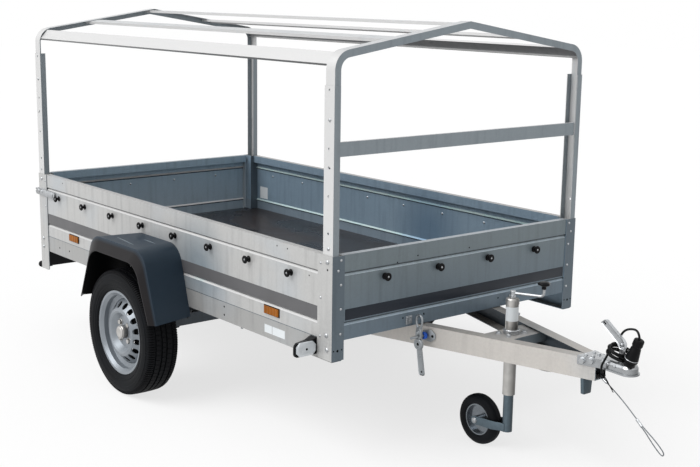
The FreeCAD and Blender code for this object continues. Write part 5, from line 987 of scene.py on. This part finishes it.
# road tyres: a lathed carcass with raised sidewall rings, and tread blocks set round it
tyre = {
    "station": 1156,
    "track": 772.5,
    "height": 273.5,
    "carcass": [(178, 55), (184, 60), (187, 67.5), (191, 70.6), (199, 72), (200.5, 73.6), (207, 74.8), (208.5, 73.6),
                (214, 76), (224, 77), (233, 76.2), (234.5, 77.2), (247, 75.6), (248.5, 73.4), (254, 71.2),
                (260, 68), (265, 61), (266.6, 52), (267.2, 20), (267.4, 0)],
    "pitches": 78,
    "shoulder": [(44, 266), (44, 272.2), (55, 271.6), (63, 269.6), (68.5, 265), (71.6, 257.5), (70.5, 255.5),
                 (62, 262)],
    "shoulderLength": 7.6,
    "rib": [(15, 266), (15, 273), (37, 272.6), (37, 266)],
    "centre": [(-8, 266), (-8, 273.3), (8, 273.3), (8, 266)],
    "ribLength": 20.6,
    "lean": 6,
    "ribEdge": 37,
    "treadRadius": 270,
}


def tread():
    pitch = 2 * math.pi * tyre["treadRadius"] / tyre["pitches"]
    unit = bmesh.new()
    rows = [(tyre["centre"], 1, 0, tyre["ribLength"], 0)]
    for side in sides:
        rows.append((tyre["rib"], side, pitch * 0.3 * side, tyre["ribLength"], side * tyre["lean"]))
        for i in (0, 1):
            rows.append((tyre["shoulder"], side, pitch / 2 * i + pitch * 0.15 * side, tyre["shoulderLength"], 0))
    for section, side, shift, length, lean in rows:
        row = plate([(radius, side * along) for along, radius in section], length)
        # thickness runs round the wheel: it is laid along Y, with the wheel's axis along Z
        lay(row, (0, -length / 2 * mm, 0), ((1, 0, 0), (0, 0, 1), (0, 1, 0)))
        for vert in row.verts:
            vert.co.y += (vert.co.z / (tyre["ribEdge"] * mm)) * lean * mm * side
        soften(row, 0.7, 1)
        bmesh.ops.rotate(row, verts=row.verts[:], cent=(0, 0, 0),
                         matrix=Matrix.Rotation(shift / tyre["treadRadius"], 3, "Z"))
        joinSpot(unit, row)
    return around(unit, tyre["pitches"])


def roadTyre(side, which):
    half = tyre["carcass"]
    carcass = lathe(half + [(radius, -along) for radius, along in half[-2::-1]], 120)
    centre = spot(tyre["station"], side * tyre["track"], tyre["height"])
    for form, finish, name in ((carcass, "tyre", "tyreCarcass_"), (tread(), "tread", "tyreTread_")):
        turn(form, form.verts[:], centre, (0, side, 0))
        piece = finishPiece(form, name + which, finish, "wheel_" + which, smoothBelow=32)
        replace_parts(piece, "wheel_tyre_" + which)


roadTyre(-1, "right")
roadTyre(1, "left")

# wheel centre: hexagon bolts with collars, a pressed grease cap, a rubber valve, and a dark ring behind the vents as
# painted shade
wheel = {
    "boltCircle": 50,
    "boltTurn": 45,
    "boltSeat": 35,
    "head": (19.8, 10, 14.5),
    "capSeat": 35,
    "cap": [(28.4, 0), (28.4, 16), (27.6, 17.5), (29.4, 18.6), (29.4, 21.4), (27.6, 23), (26.5, 27), (22, 30),
            (15, 30.8), (13.5, 30), (0, 30.2)],
    "hollow": [(99, 43), (134, 9), (134, 6.5), (99, 40.5), (99, 43)],
    "valveRadius": 146,
    "valveTurn": 24,
    "valveSeat": 16,
    "valve": [(0, 0), (6.5, 0), (6.5, 3), (5, 6), (4, 18), (4, 24), (4.6, 24.5), (4.6, 32), (3.6, 33), (0, 33)],
}


def onCircle(radius, degrees, height):
    angle = math.radians(degrees)
    return Vector((radius * mm * math.cos(angle), radius * mm * math.sin(angle), height * mm))


def wheelCentre(side, which):
    metal, valves = bmesh.new(), bmesh.new()
    for i in range(4):
        place = onCircle(wheel["boltCircle"], wheel["boltTurn"] + 90 * i, wheel["boltSeat"])
        setOn(metal, hexHead, wheel["head"], [place], (0, 0, 1), 0.3 * i)
    setOn(metal, lathe, (wheel["cap"], 36), [(0, 0, wheel["capSeat"] * mm)], (0, 0, 1))
    setOn(valves, lathe, (wheel["valve"], 14), [onCircle(wheel["valveRadius"], wheel["valveTurn"],
                                                         wheel["valveSeat"])], (0, 0, 1))
    centre = spot(tyre["station"], side * tyre["track"], tyre["height"])
    for form, finish, name, slot in ((metal, "tubeZinc", "wheelBolts_", "zinc_plated_steel"),
                                     (valves, "rubber", "tyreValve_", "tyre_rubber"),
                                     (lathe(wheel["hollow"], 64), "shade", "wheelVentShade_", "tyre_rubber")):
        turn(form, form.verts[:], centre, (0, side, 0))
        finishPiece(form, name + which, finish, "wheel_" + which, smoothBelow=40)


wheelCentre(-1, "right")
wheelCentre(1, "left")

# two long pressed ribs on each fender's top, coloured lighter than the fender as a painted sheen, and its fixing bolts
fenderTop = {
    "ribs": (((992, 773), (1080, 783), (1200, 796), (1312, 809)),
             ((1120, 710), (1180, 711), (1250, 714), (1306, 716))),
    "heights": (661, 664.6, 664.6, 661),
    "rib": 5,
    "bolts": ((1010, 653, 645), (1300, 653, 645)),
}


def fenderDetails():
    ribs, bolts = bmesh.new(), bmesh.new()
    for side in sides:
        for rib in fenderTop["ribs"]:
            points = [spot(x, side * y, z) for (x, y), z in zip(rib, fenderTop["heights"])]
            joinSpot(ribs, rodForm(points, fenderTop["rib"]))
        setOn(bolts, domeHead, (6, 3), mirrored(side, fenderTop["bolts"]), (0, side, 0))
    finishPiece(ribs, "fenderRibs", "fenderRib", "bed")
    finishPiece(bolts, "fenderBolts", "zinc", "bed")


fenderDetails()

# hanger plates that carry the axle under the rails
hanger = {
    "outline": [(1085, 417), (1440, 417), (1425, 396), (1372, 384), (1330, 330), (1300, 302), (1284, 300), (1268, 322),
                (1262, 372), (1236, 392), (1085, 396)],
    "inner": 600,
    "thickness": 6,
    "bolts": ((1120, 407), (1400, 407), (1290, 322)),
}


def axleHangers():
    form, bolts = bmesh.new(), bmesh.new()
    for side in sides:
        sheet = upright(hanger["outline"], hanger["thickness"], side, spot(0, side * hanger["inner"], 0))
        joinSpot(form, soften(sheet, 1.2, 2))
        face = hanger["inner"] + hanger["thickness"]
        setOn(bolts, hexHead, (13, 5, 9), [spot(x, side * face, z) for x, z in hanger["bolts"]], (0, side, 0))
    finishPiece(form, "axleHangers", "under", "bed")
    finishPiece(bolts, "hangerBolts", "darkZinc", "bed")


axleHangers()
print("wheels ready")

# over-centre latches of the tailgate: a bent lever with a keeper that hooks round the gate's edge
gateLatch = {
    "lever": [(-20, 699), (150, 695), (178, 696), (185, 701), (185, 722), (178, 728), (150, 729), (-20, 729)],
    "base": [(6, 705), (72, 705), (72, 731), (6, 731)],
    "rib": (84, 168, 702, 722),
    "slots": ((14, 726), (28, 726), (42, 726), (14, 710)),
    "hook": [(-18, 658), (-25, 657.5), (-28.5, 653), (-28.5, 646), (-25, 641.5)],
    "sheets": (("base", 650, 652.5), ("lever", 655, 658)),
    "face": 657,
    "ribProud": 4,
    "slotSize": (8, 1.2, 1.2),
    "hookHeights": (711, 725),
    "bar": [(-25, 641.5, 708), (-25, 641.5, 714), (-25, 641.5, 722), (-25, 641.5, 728)],
    "wire": 2.6,
    "domes": [(48, 657.6, 718), (12, 657.6, 718)],
    "stem": (26, 44, 650, 656, 710, 726),
}


def gateLatches():
    form, slots = bmesh.new(), bmesh.new()
    for side in sides:
        for name, near, far in gateLatch["sheets"]:
            joinSpot(form, soften(upright(gateLatch[name], far - near, side, spot(0, side * near, 0)), 0.8, 2))
        rear, front, low, high = gateLatch["rib"]
        face, crest = side * gateLatch["face"], side * (gateLatch["face"] + gateLatch["ribProud"])
        joinSpot(form, soften(slab(rear, front, face, crest, low, high), 1.6, 3))
        for z in gateLatch["hookHeights"]:
            joinSpot(form, rodForm([spot(x, side * y, z) for x, y in gateLatch["hook"]], gateLatch["wire"]))
        joinSpot(form, rodForm(mirrored(side, gateLatch["bar"]), gateLatch["wire"]))
        setOn(form, domeHead, (6.5, 3), mirrored(side, gateLatch["domes"]), (0, side, 0))
        rear, front, near, far, low, high = gateLatch["stem"]
        joinSpot(form, soften(slab(rear, front, side * near, side * far, low, high), 1, 1))
        # the slots are thin dark strips of painted shade
        for x, z in gateLatch["slots"]:
            length, half, proud = gateLatch["slotSize"]
            joinSpot(slots, slab(x, x + length, face, face + side * proud, z - half, z + half))
    finishPiece(slots, "gateLatchSlots", "shade", "bed", edge=0.3)
    piece = metalPiece(form, "gateLatches", "bed")
    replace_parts(piece, "tailgate_latches")


gateLatches()

# the drawbar arms' outer faces run in a straight line from their rear ends to their tips
armLow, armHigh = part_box("drawbar_arm_right")
armTipHalf = 26.4
armSlope = (-armLow.y / mm - armTipHalf) / ((armHigh.x - armLow.x) / mm)
armTipStation = (armHigh.x - rearFace) / mm


def armHalf(station, proud=0.0):
    return armTipHalf + (armTipStation - station) * armSlope + proud


def armOut(side):
    return Vector((armSlope, side, 0)).normalized()


# latches that hold the bed down on the drawbar: a wire eye on a block with a cross rod and a cam lever
latch = {
    "station": 2420,
    "gap": 34,
    "depth": 13,
    "eye": [(0, -27), (-9, -23), (-15, -10), (-16.5, 6), (-12, 20), (0, 25.5), (12, 20), (16.5, 6), (15, -10),
            (9, -23)],
    "eyeHeight": 513,
    "wire": 4.6,
    "block": [(-8, 492), (8, 492), (13, 470), (14, 448), (-14, 448), (-13, 470)],
    "rodHeight": 454,
    "rod": 4.4,
    "thread": 3.2,
    "ring": [(5.6, 0), (11.5, 0), (14, 2.2), (14, 12.4), (12, 14.6), (8.5, 14.6), (7.6, 12.6), (5.6, 11.6), (5.6, 0)],
    "camHeight": 425,
    "cam": [(0, 0), (20, 0), (22, 2), (22, 11), (20, 13), (13, 13), (12, 11.4), (0, 11.4)],
    "lever": [(-12, 432), (13, 432), (35, 316), (32, 308), (13, 307), (8, 312)],
    "plate": [(-20, 0), (-14, -18), (20, -24), (40, -10), (40, 10), (20, 24), (-14, 18)],
    "rim": 3.2,
    "sunk": 3.5,
    "leverDepth": 8,
    "leverInset": 10.5,
    "rodReach": 36,
    "ringSeat": 8,
    "bolt": (0, 0.4, 470),
    "rivet": (9.5, 6, 380),
    "leverHole": (20.5, 5.9, 321),
    "camFace": 1.6,
    "plateThickness": 5.5,
    "plateHole": 28,
}


def tiltLatches():
    metal, rings, shades = bmesh.new(), bmesh.new(), bmesh.new()
    station, depth, low, pitch, thin = (latch[k] for k in ("station", "depth", "rodHeight", "thread", "rod"))
    for side in sides:
        out = (0, side, 0)
        outer = armHalf(station, latch["gap"] + depth)
        eye = [spot(station + x, side * (outer - depth / 2), latch["eyeHeight"] + z) for x, z in latch["eye"]]
        joinSpot(metal, rodForm(eye, latch["wire"], True))
        body = upright([(station + x, z) for x, z in latch["block"]], depth, side, spot(0, side * (outer - depth), 0))
        joinSpot(metal, soften(body, 1.1, 2))
        lever = upright([(station + x, z) for x, z in latch["lever"]], latch["leverDepth"], side,
                        spot(0, side * (outer - latch["leverInset"]), 0))
        # the lever is a pressed channel: its outer face is sunk inside a rim
        sink(lever, out, latch["rim"], latch["sunk"])
        joinSpot(metal, soften(lever, 1.1, 2))
        setOn(metal, lathe, (latch["cam"], 32), [spot(station, side * (outer - depth), latch["camHeight"])], out)
        camHole = (0, latch["camFace"], latch["camHeight"])
        for target, maker, sizes, (x, inset, z) in (
                (metal, hexHead, (13, 6, 9), latch["bolt"]), (metal, domeHead, (5, 2.4), latch["rivet"]),
                (shades, shadeDisc, (6,), camHole), (shades, shadeDisc, (4,), latch["leverHole"])):
            setOn(target, maker, sizes, [spot(station + x, side * (outer - inset), z)], out)
        # threaded cross rod and its plastic ring
        turns = int((outer + latch["rodReach"] - armHalf(station, 2)) / pitch)
        profile = [(0, 0)]
        for i in range(turns):
            profile += [(thin, pitch * i), (thin + 0.8, pitch * (i + 0.5))]
        profile += [(thin, pitch * turns), (0, pitch * turns)]
        setOn(metal, lathe, (profile, 14), [spot(station, side * armHalf(station, 2), low)], out)
        setOn(rings, lathe, (latch["ring"], 30), [spot(station, side * armHalf(station, latch["ringSeat"]), low)], out)
        # bearing plate on the arm, laid along its face
        along = Vector((1, -side * armSlope, 0)).normalized()
        way = armOut(side)
        centre = spot(station, side * armHalf(station, 0.2), low)
        rows = Matrix((along, Vector((0, 0, 1)), way)).transposed()
        face = lay(plate(latch["plate"], latch["plateThickness"]), centre, rows)
        joinSpot(metal, soften(face, 1.6, 2))
        hole = along * latch["plateHole"] + way * (latch["plateThickness"] + 0.1)
        setOn(shades, shadeDisc, (5.5,), [centre + hole * mm], way)
    whole = metalPiece(metal, "tiltLatches", "drawbar", "darkZinc")
    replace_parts(whole, "tilt_latches")
    finishPiece(rings, "latchRings", "blue", "drawbar")
    finishPiece(shades, "latchHoles", "shade", "drawbar")


tiltLatches()

# keepers of those latches on the bed's front: a bolted plate with a bent hook
keeper = {
    "station": 2387,
    "middle": 279,
    "low": 499,
    "high": 533,
    "half": 16,
    "hook": [(2, 520), (6.5, 521), (8.6, 516), (8, 508), (5, 504)],
    "thickness": 3,
    "holes": ((2387, 202, 528), (2387, 308, 528)),
}


def bedKeepers():
    metal, shades = bmesh.new(), bmesh.new()
    station, middle, half = (keeper[k] for k in ("station", "middle", "half"))
    face = station + keeper["thickness"]
    for side in sides:
        base = slab(station, face, side * (middle - half), side * (middle + half), keeper["low"], keeper["high"])
        joinSpot(metal, soften(base, 1.0, 2))
        for shift in (-4, 4):
            hook = [spot(station + x, side * (middle + shift), z) for x, z in keeper["hook"]]
            joinSpot(metal, rodForm(hook, 1.8))
        setOn(metal, domeHead, (4.5, 3), mirrored(side, [(face, middle - 9, 527), (face, middle + 9, 527)]), (1, 0, 0))
        setOn(shades, shadeDisc, (3.5,), mirrored(side, keeper["holes"]), (1, 0, 0))
    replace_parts(metalPiece(metal, "latchKeepers", "bed", "darkZinc"), "bed_latch_hooks")
    finishPiece(shades, "keeperHoles", "shade", "bed")


bedKeepers()
print("latches ready")

# coupling: saddle bolts, neck bolts, and the pressed lever with its ribbed edge
coupling = {
    "saddleBolts": ((3030.5, 476), (3062, 480)),
    "neckBolts": ((3130, 485.5), (3158, 485)),
    "topNuts": ((3030, 22), (3056, 16)),
    "skidBolt": (3025, 10, 399.5),
    "lever": [(-41, 545), (-34, 543), (-22, 543.5), (-18.5, 547), (-18.3, 560), (-21.5, 569), (-27, 575),
              (-104, 630.5), (-109, 630), (-122.5, 620), (-123, 614.5), (-54, 563), (-47, 556)],
    "leverHalf": 7.8,
    "leverRim": 3.4,
    "foot": [(-43, 498.2), (-26, 498.2), (-20.5, 552), (-39.5, 552)],
    "footHalf": 5.8,
    "ribs": 26,
    "ribLine": ((-30, 577.6), (-101, 628.6)),
    "rivet": (-32, 558),
    "slots": ((-112, 620.5), (-106, 616.5)),
    "skid": [(-25, 410), (-25, 399), (-22.5, 374), (-20, 347), (-17, 344.2), (17, 344.2), (20, 347), (22.5, 374),
             (25, 399), (25, 410)],
    "skidRear": 3011,
    "skidFront": 3025,
    "skidRim": 3,
    "skidHollow": 11,
    "leverSunk": 3.2,
    "ribHalf": (0.7, 6.6, 0.7),
}


def couplingBolts():
    form = bmesh.new()
    for side in sides:
        for station, z in coupling["saddleBolts"]:
            setOn(form, hexHead, (19.5, 11, 13.5), [spot(station, side * armHalf(station, 4), z)], armOut(side))
        setOn(form, domeHead, (5.2, 3.6), [spot(x, side * (29 + (x - 3130) * 0.05), z)
                                          for x, z in coupling["neckBolts"]], (0, side, 0))
        setOn(form, hexHead, (10, 5, 7), [spot(x, side * y, 492) for x, y in coupling["topNuts"]], (0, 0, 1))
    setOn(form, domeHead, (5.5, 3), [spot(*coupling["skidBolt"])], (1, 0, 0))
    metalPiece(form, "couplingBolts", "drawbar")


def skid():
    # a pressed foot plate: the outline faces ahead, and its rear is hollowed inside a rim
    form = plate(coupling["skid"], coupling["skidFront"] - coupling["skidRear"])
    lay(form, spot(coupling["skidRear"], 0, 0), ((0, 0, 1), (1, 0, 0), (0, 1, 0)))
    sink(form, (-1, 0, 0), coupling["skidRim"], coupling["skidHollow"])
    piece = finishPiece(soften(form, 0.8, 2), "couplingSkid", "dullSteel", "drawbar")
    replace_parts(piece, "drawbar_skid")


def couplingLever():
    form, slots = bmesh.new(), bmesh.new()
    ground = ball.z / mm
    for outline, half, sunk in ((coupling["foot"], coupling["footHalf"], 0.0),
                                (coupling["lever"], coupling["leverHalf"], coupling["leverSunk"])):
        sheet = upright([(x, z - ground) for x, z in outline], 2 * half, -1, ball + Vector((0, half * mm, 0)))
        if sunk:
            for way in sides:
                sink(sheet, (0, way, 0), coupling["leverRim"], sunk)
        joinSpot(form, soften(sheet, 1.2, 2))
    start, end = (Vector((x, 0, z - ground)) for x, z in coupling["ribLine"])
    along = (end - start).normalized()
    out = Vector((along.z, 0, -along.x))
    rows = Matrix((along, Vector((0, 1, 0)), out)).transposed()
    ribHalf = Vector(coupling["ribHalf"]) * mm
    for i in range(coupling["ribs"]):
        centre = ball + (start.lerp(end, (i + 0.5) / coupling["ribs"]) - out * 0.2) * mm
        joinSpot(form, soften(lay(block(-ribHalf, ribHalf), centre, rows), 0.4, 1))
    x, z = coupling["rivet"]
    for way in sides:
        setOn(form, domeHead, (6, 3), [fromBall((x, way * 5.5, z - ground))], (0, way, 0))
        holes = [fromBall((hole, way * 4.7, height - ground)) for hole, height in coupling["slots"]]
        setOn(slots, shadeDisc, (3.6,), holes, (0, way, 0))
    piece = metalPiece(form, "couplingLever", "drawbar")
    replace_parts(piece, "coupling_handle")
    finishPiece(slots, "leverSlots", "shade", "drawbar")


couplingBolts()
skid()
couplingLever()

# clip that holds the lead and the rope at the neck, with two loops, and the loose tails of its ties
tie = {
    "tab": ((-98, -17.2, -37), (-86, -13, -5)),
    "loops": (((-90, -22, -26), (0.15, -0.5, 1), 8.6), ((-86, -26, -34), (0.9, 0, -0.5), 6.4)),
    "tails": ([(-84, -31, -30), (-66, -36, -37), (-48, -40, -47), (-28, -44, -58)],
              [(-80, -31, -24), (-60, -38, -32), (-42, -46, -46), (-22, -48, -66)]),
}


def leadClip():
    low, high = (fromBall(p) for p in tie["tab"])
    clip = soften(block(low, high), 1.2, 2)
    for centre, way, radius in tie["loops"]:
        strap = [(radius - 2.2, -5), (radius, -5), (radius + 0.4, -4), (radius + 0.4, 4), (radius, 5),
                 (radius - 2.2, 5), (radius - 2.2, -5)]
        setOn(clip, lathe, (strap, 24), [fromBall(centre)], way)
    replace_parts(finishPiece(clip, "leadClip", "rubber", "drawbar"), "lead_clip")
    form = bmesh.new()
    for points in tie["tails"]:
        joinSpot(form, rodForm([fromBall(p) for p in points], 1.5))
    finishPiece(form, "cableTieTails", "rubber", "drawbar")


leadClip()

# jockey wheel's upper end: crank with a lobed knob, blank label and collar with its nuts
jockey = {
    "station": 2652,
    "labelLow": 529,
    "labelHigh": 583,
    "label": 24.35,
    "cap": 616,
    "crankHeight": 633.5,
    "crankTurn": 25,
    "bend": 13,
    "reach": 118,
    "rod": 5.2,
    "knobHeight": 681,
    "boss": [(0, 0), (11, 0), (11, 10), (9.6, 11), (9.6, 20), (11, 21), (11, 25.4), (9, 27.4), (0, 27.9)],
    "knob": [(0, -20), (7, -20), (9, -18.5), (9, -9), (11, -6.5), (19, -5), (23.6, -2), (24.6, 1.5), (23, 5),
             (17, 8.2), (9, 9.7), (0, 10)],
    "lobes": 5,
    "collar": [(24.3, 0), (29, 0), (30.5, 1.5), (30.5, 15), (29, 16.5), (24.3, 16.5), (24.3, 0)],
    "collarFoot": 478.4,
    "nuts": ((26, 42, 478), (-26, 42, 478)),
}


def jockeyDetails():
    axis = spot(jockey["station"], 0, 0)
    height, reach, bend = jockey["crankHeight"], jockey["reach"], jockey["bend"]
    way = Matrix.Rotation(math.radians(jockey["crankTurn"]), 3, "Z") @ Vector((1, 0, 0))
    metal = bmesh.new()
    setOn(metal, lathe, (jockey["boss"], 24), [axis + Vector((0, 0, jockey["cap"] * mm))], (0, 0, 1))
    bar = [(4, height), (50, height), (reach - bend * 2, height), (reach - bend * 0.6, height),
           (reach, height + bend * 0.6), (reach, height + bend * 1.8), (reach, jockey["knobHeight"] - 12)]
    joinSpot(metal, rodForm([axis + (way * along + Vector((0, 0, z))) * mm for along, z in bar], jockey["rod"]))
    setOn(metal, domeHead, (3.4, 2), [axis + Vector((7, -7, 623)) * mm], (1, -1, 0))
    crank = metalPiece(metal, "jockeyCrank", "drawbar")
    knob = lathe(jockey["knob"], 60)
    for vert in knob.verts:
        # lobes for the fingers, only on the wide part of the knob
        angle = math.atan2(vert.co.y, vert.co.x)
        wide = min(1.0, max(0.0, (vert.co.xy.length / mm - 11) / 12))
        vert.co.xy *= 1 + 0.07 * wide * (math.cos(jockey["lobes"] * angle) - 1)
    bmesh.ops.translate(knob, verts=knob.verts[:], vec=axis + (way * reach + Vector((0, 0, jockey["knobHeight"]))) * mm)
    knobPiece = finishPiece(knob, "crankKnob", "plastic", "drawbar", smoothBelow=50)
    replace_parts(crank, "jockey_crank")
    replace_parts(knobPiece, "jockey_crank")

    profile = [(24, jockey["labelLow"]), (jockey["label"], jockey["labelLow"]), (jockey["label"], jockey["labelHigh"]),
               (24, jockey["labelHigh"])]
    wrap = bmesh.new()
    verts = [wrap.verts.new((radius * mm, 0, z * mm)) for radius, z in profile]
    for first, last in zip(verts, verts[1:] + verts[:1]):
        wrap.edges.new((first, last))
    bmesh.ops.spin(wrap, geom=wrap.verts[:] + wrap.edges[:], cent=(0, 0, 0), axis=(0, 0, 1),
                   angle=math.radians(150), steps=24)
    bmesh.ops.rotate(wrap, verts=wrap.verts[:], cent=(0, 0, 0), matrix=Matrix.Rotation(math.radians(-115), 3, "Z"))
    bmesh.ops.translate(wrap, verts=wrap.verts[:], vec=axis)
    bmesh.ops.holes_fill(wrap, edges=wrap.edges[:])
    bmesh.ops.recalc_face_normals(wrap, faces=wrap.faces[:])
    finishPiece(wrap, "jockeyLabel", "label", "drawbar")

    clamp = lathe(jockey["collar"], 36)
    bmesh.ops.translate(clamp, verts=clamp.verts[:], vec=axis + Vector((0, 0, jockey["collarFoot"] * mm)))
    for x, y, z in jockey["nuts"]:
        setOn(clamp, hexHead, (15, 8, 11), [axis + Vector((x, side * y, z)) * mm for side in sides], (0, 0, 1))
    metalPiece(clamp, "jockeyCollar", "drawbar")


jockeyDetails()

# jockey wheel: tyre with two shallow grooves, axle nuts, and the fork that bends in to its leg
jockeyWheel = {
    "arm": [(-160, 29, 100, 7), (-157, 29, 100, 11.5), (-151, 29, 100, 15), (-142, 29, 100.4, 16.5),
            (-90, 29, 104.5, 17), (-56, 29, 106.5, 17), (-36, 26, 108, 16.5), (-22, 20, 108.5, 16),
            (-10, 17, 108.5, 16), (3, 16.2, 108.5, 16)],
    "armSheet": 4.6,
    "leg": [(16.5, 0), (19, 0), (19, 348), (16.5, 348), (16.5, 0)],
    "legFoot": 92.5,
    "station": 2510,
    "height": 100,
    "tyre": [(61, 17), (64, 20.5), (70, 24), (78, 24.8), (86, 24.2), (92, 21.5), (96.6, 16), (98.8, 10), (97.6, 9),
             (97.6, 7), (99.3, 6), (99.7, 0)],
    "nut": (19, 5, 12),
    "nutSeat": 33.8,
}


def jockeyTyre():
    half = jockeyWheel["tyre"]
    form = lathe(half + [(radius, -along) for radius, along in half[-2::-1]], 80)
    station, height = jockeyWheel["station"], jockeyWheel["height"]
    turn(form, form.verts[:], spot(station, 0, height), (0, -1, 0))
    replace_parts(finishPiece(form, "jockeyTyre", "tyre", "jockey_wheel", smoothBelow=32), "jockey_tyre")
    nuts = bmesh.new()
    for side in sides:
        setOn(nuts, hexHead, jockeyWheel["nut"], [spot(station, side * jockeyWheel["nutSeat"], height)], (0, side, 0))
    metalPiece(nuts, "jockeyAxleNuts", "jockey_leg")


def jockeyFork():
    # each arm rises from the axle and bends in to the leg, which ends level with it
    form = bmesh.new()
    sheet = jockeyWheel["armSheet"]
    for side in sides:
        rows = []
        for x, y, middle, half in jockeyWheel["arm"]:
            corners = ((0, -1), (0, 1), (sheet, 1), (sheet, -1))
            rows.append([form.verts.new(spot(jockey["station"] + x, side * (y + depth), middle + rise * half))
                         for depth, rise in corners])
        for near, far in zip(rows, rows[1:]):
            for i in range(4):
                form.faces.new((near[i], near[(i + 1) % 4], far[(i + 1) % 4], far[i]))
        form.faces.new(rows[0])
        form.faces.new(rows[-1])
    bmesh.ops.recalc_face_normals(form, faces=form.faces[:])
    fork = finishPiece(soften(form, 0.8, 2, 50), "jockeyFork", "dullSteel", "jockey_leg")
    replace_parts(fork, "jockey_fork")
    leg = lathe(jockeyWheel["leg"], 48)
    bmesh.ops.translate(leg, verts=leg.verts[:], vec=spot(jockey["station"], 0, jockeyWheel["legFoot"]))
    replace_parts(finishPiece(leg, "jockeyLeg", "dullSteel", "jockey_leg"), "jockey_inner_tube")


jockeyTyre()
jockeyFork()
print("drawbar details ready")
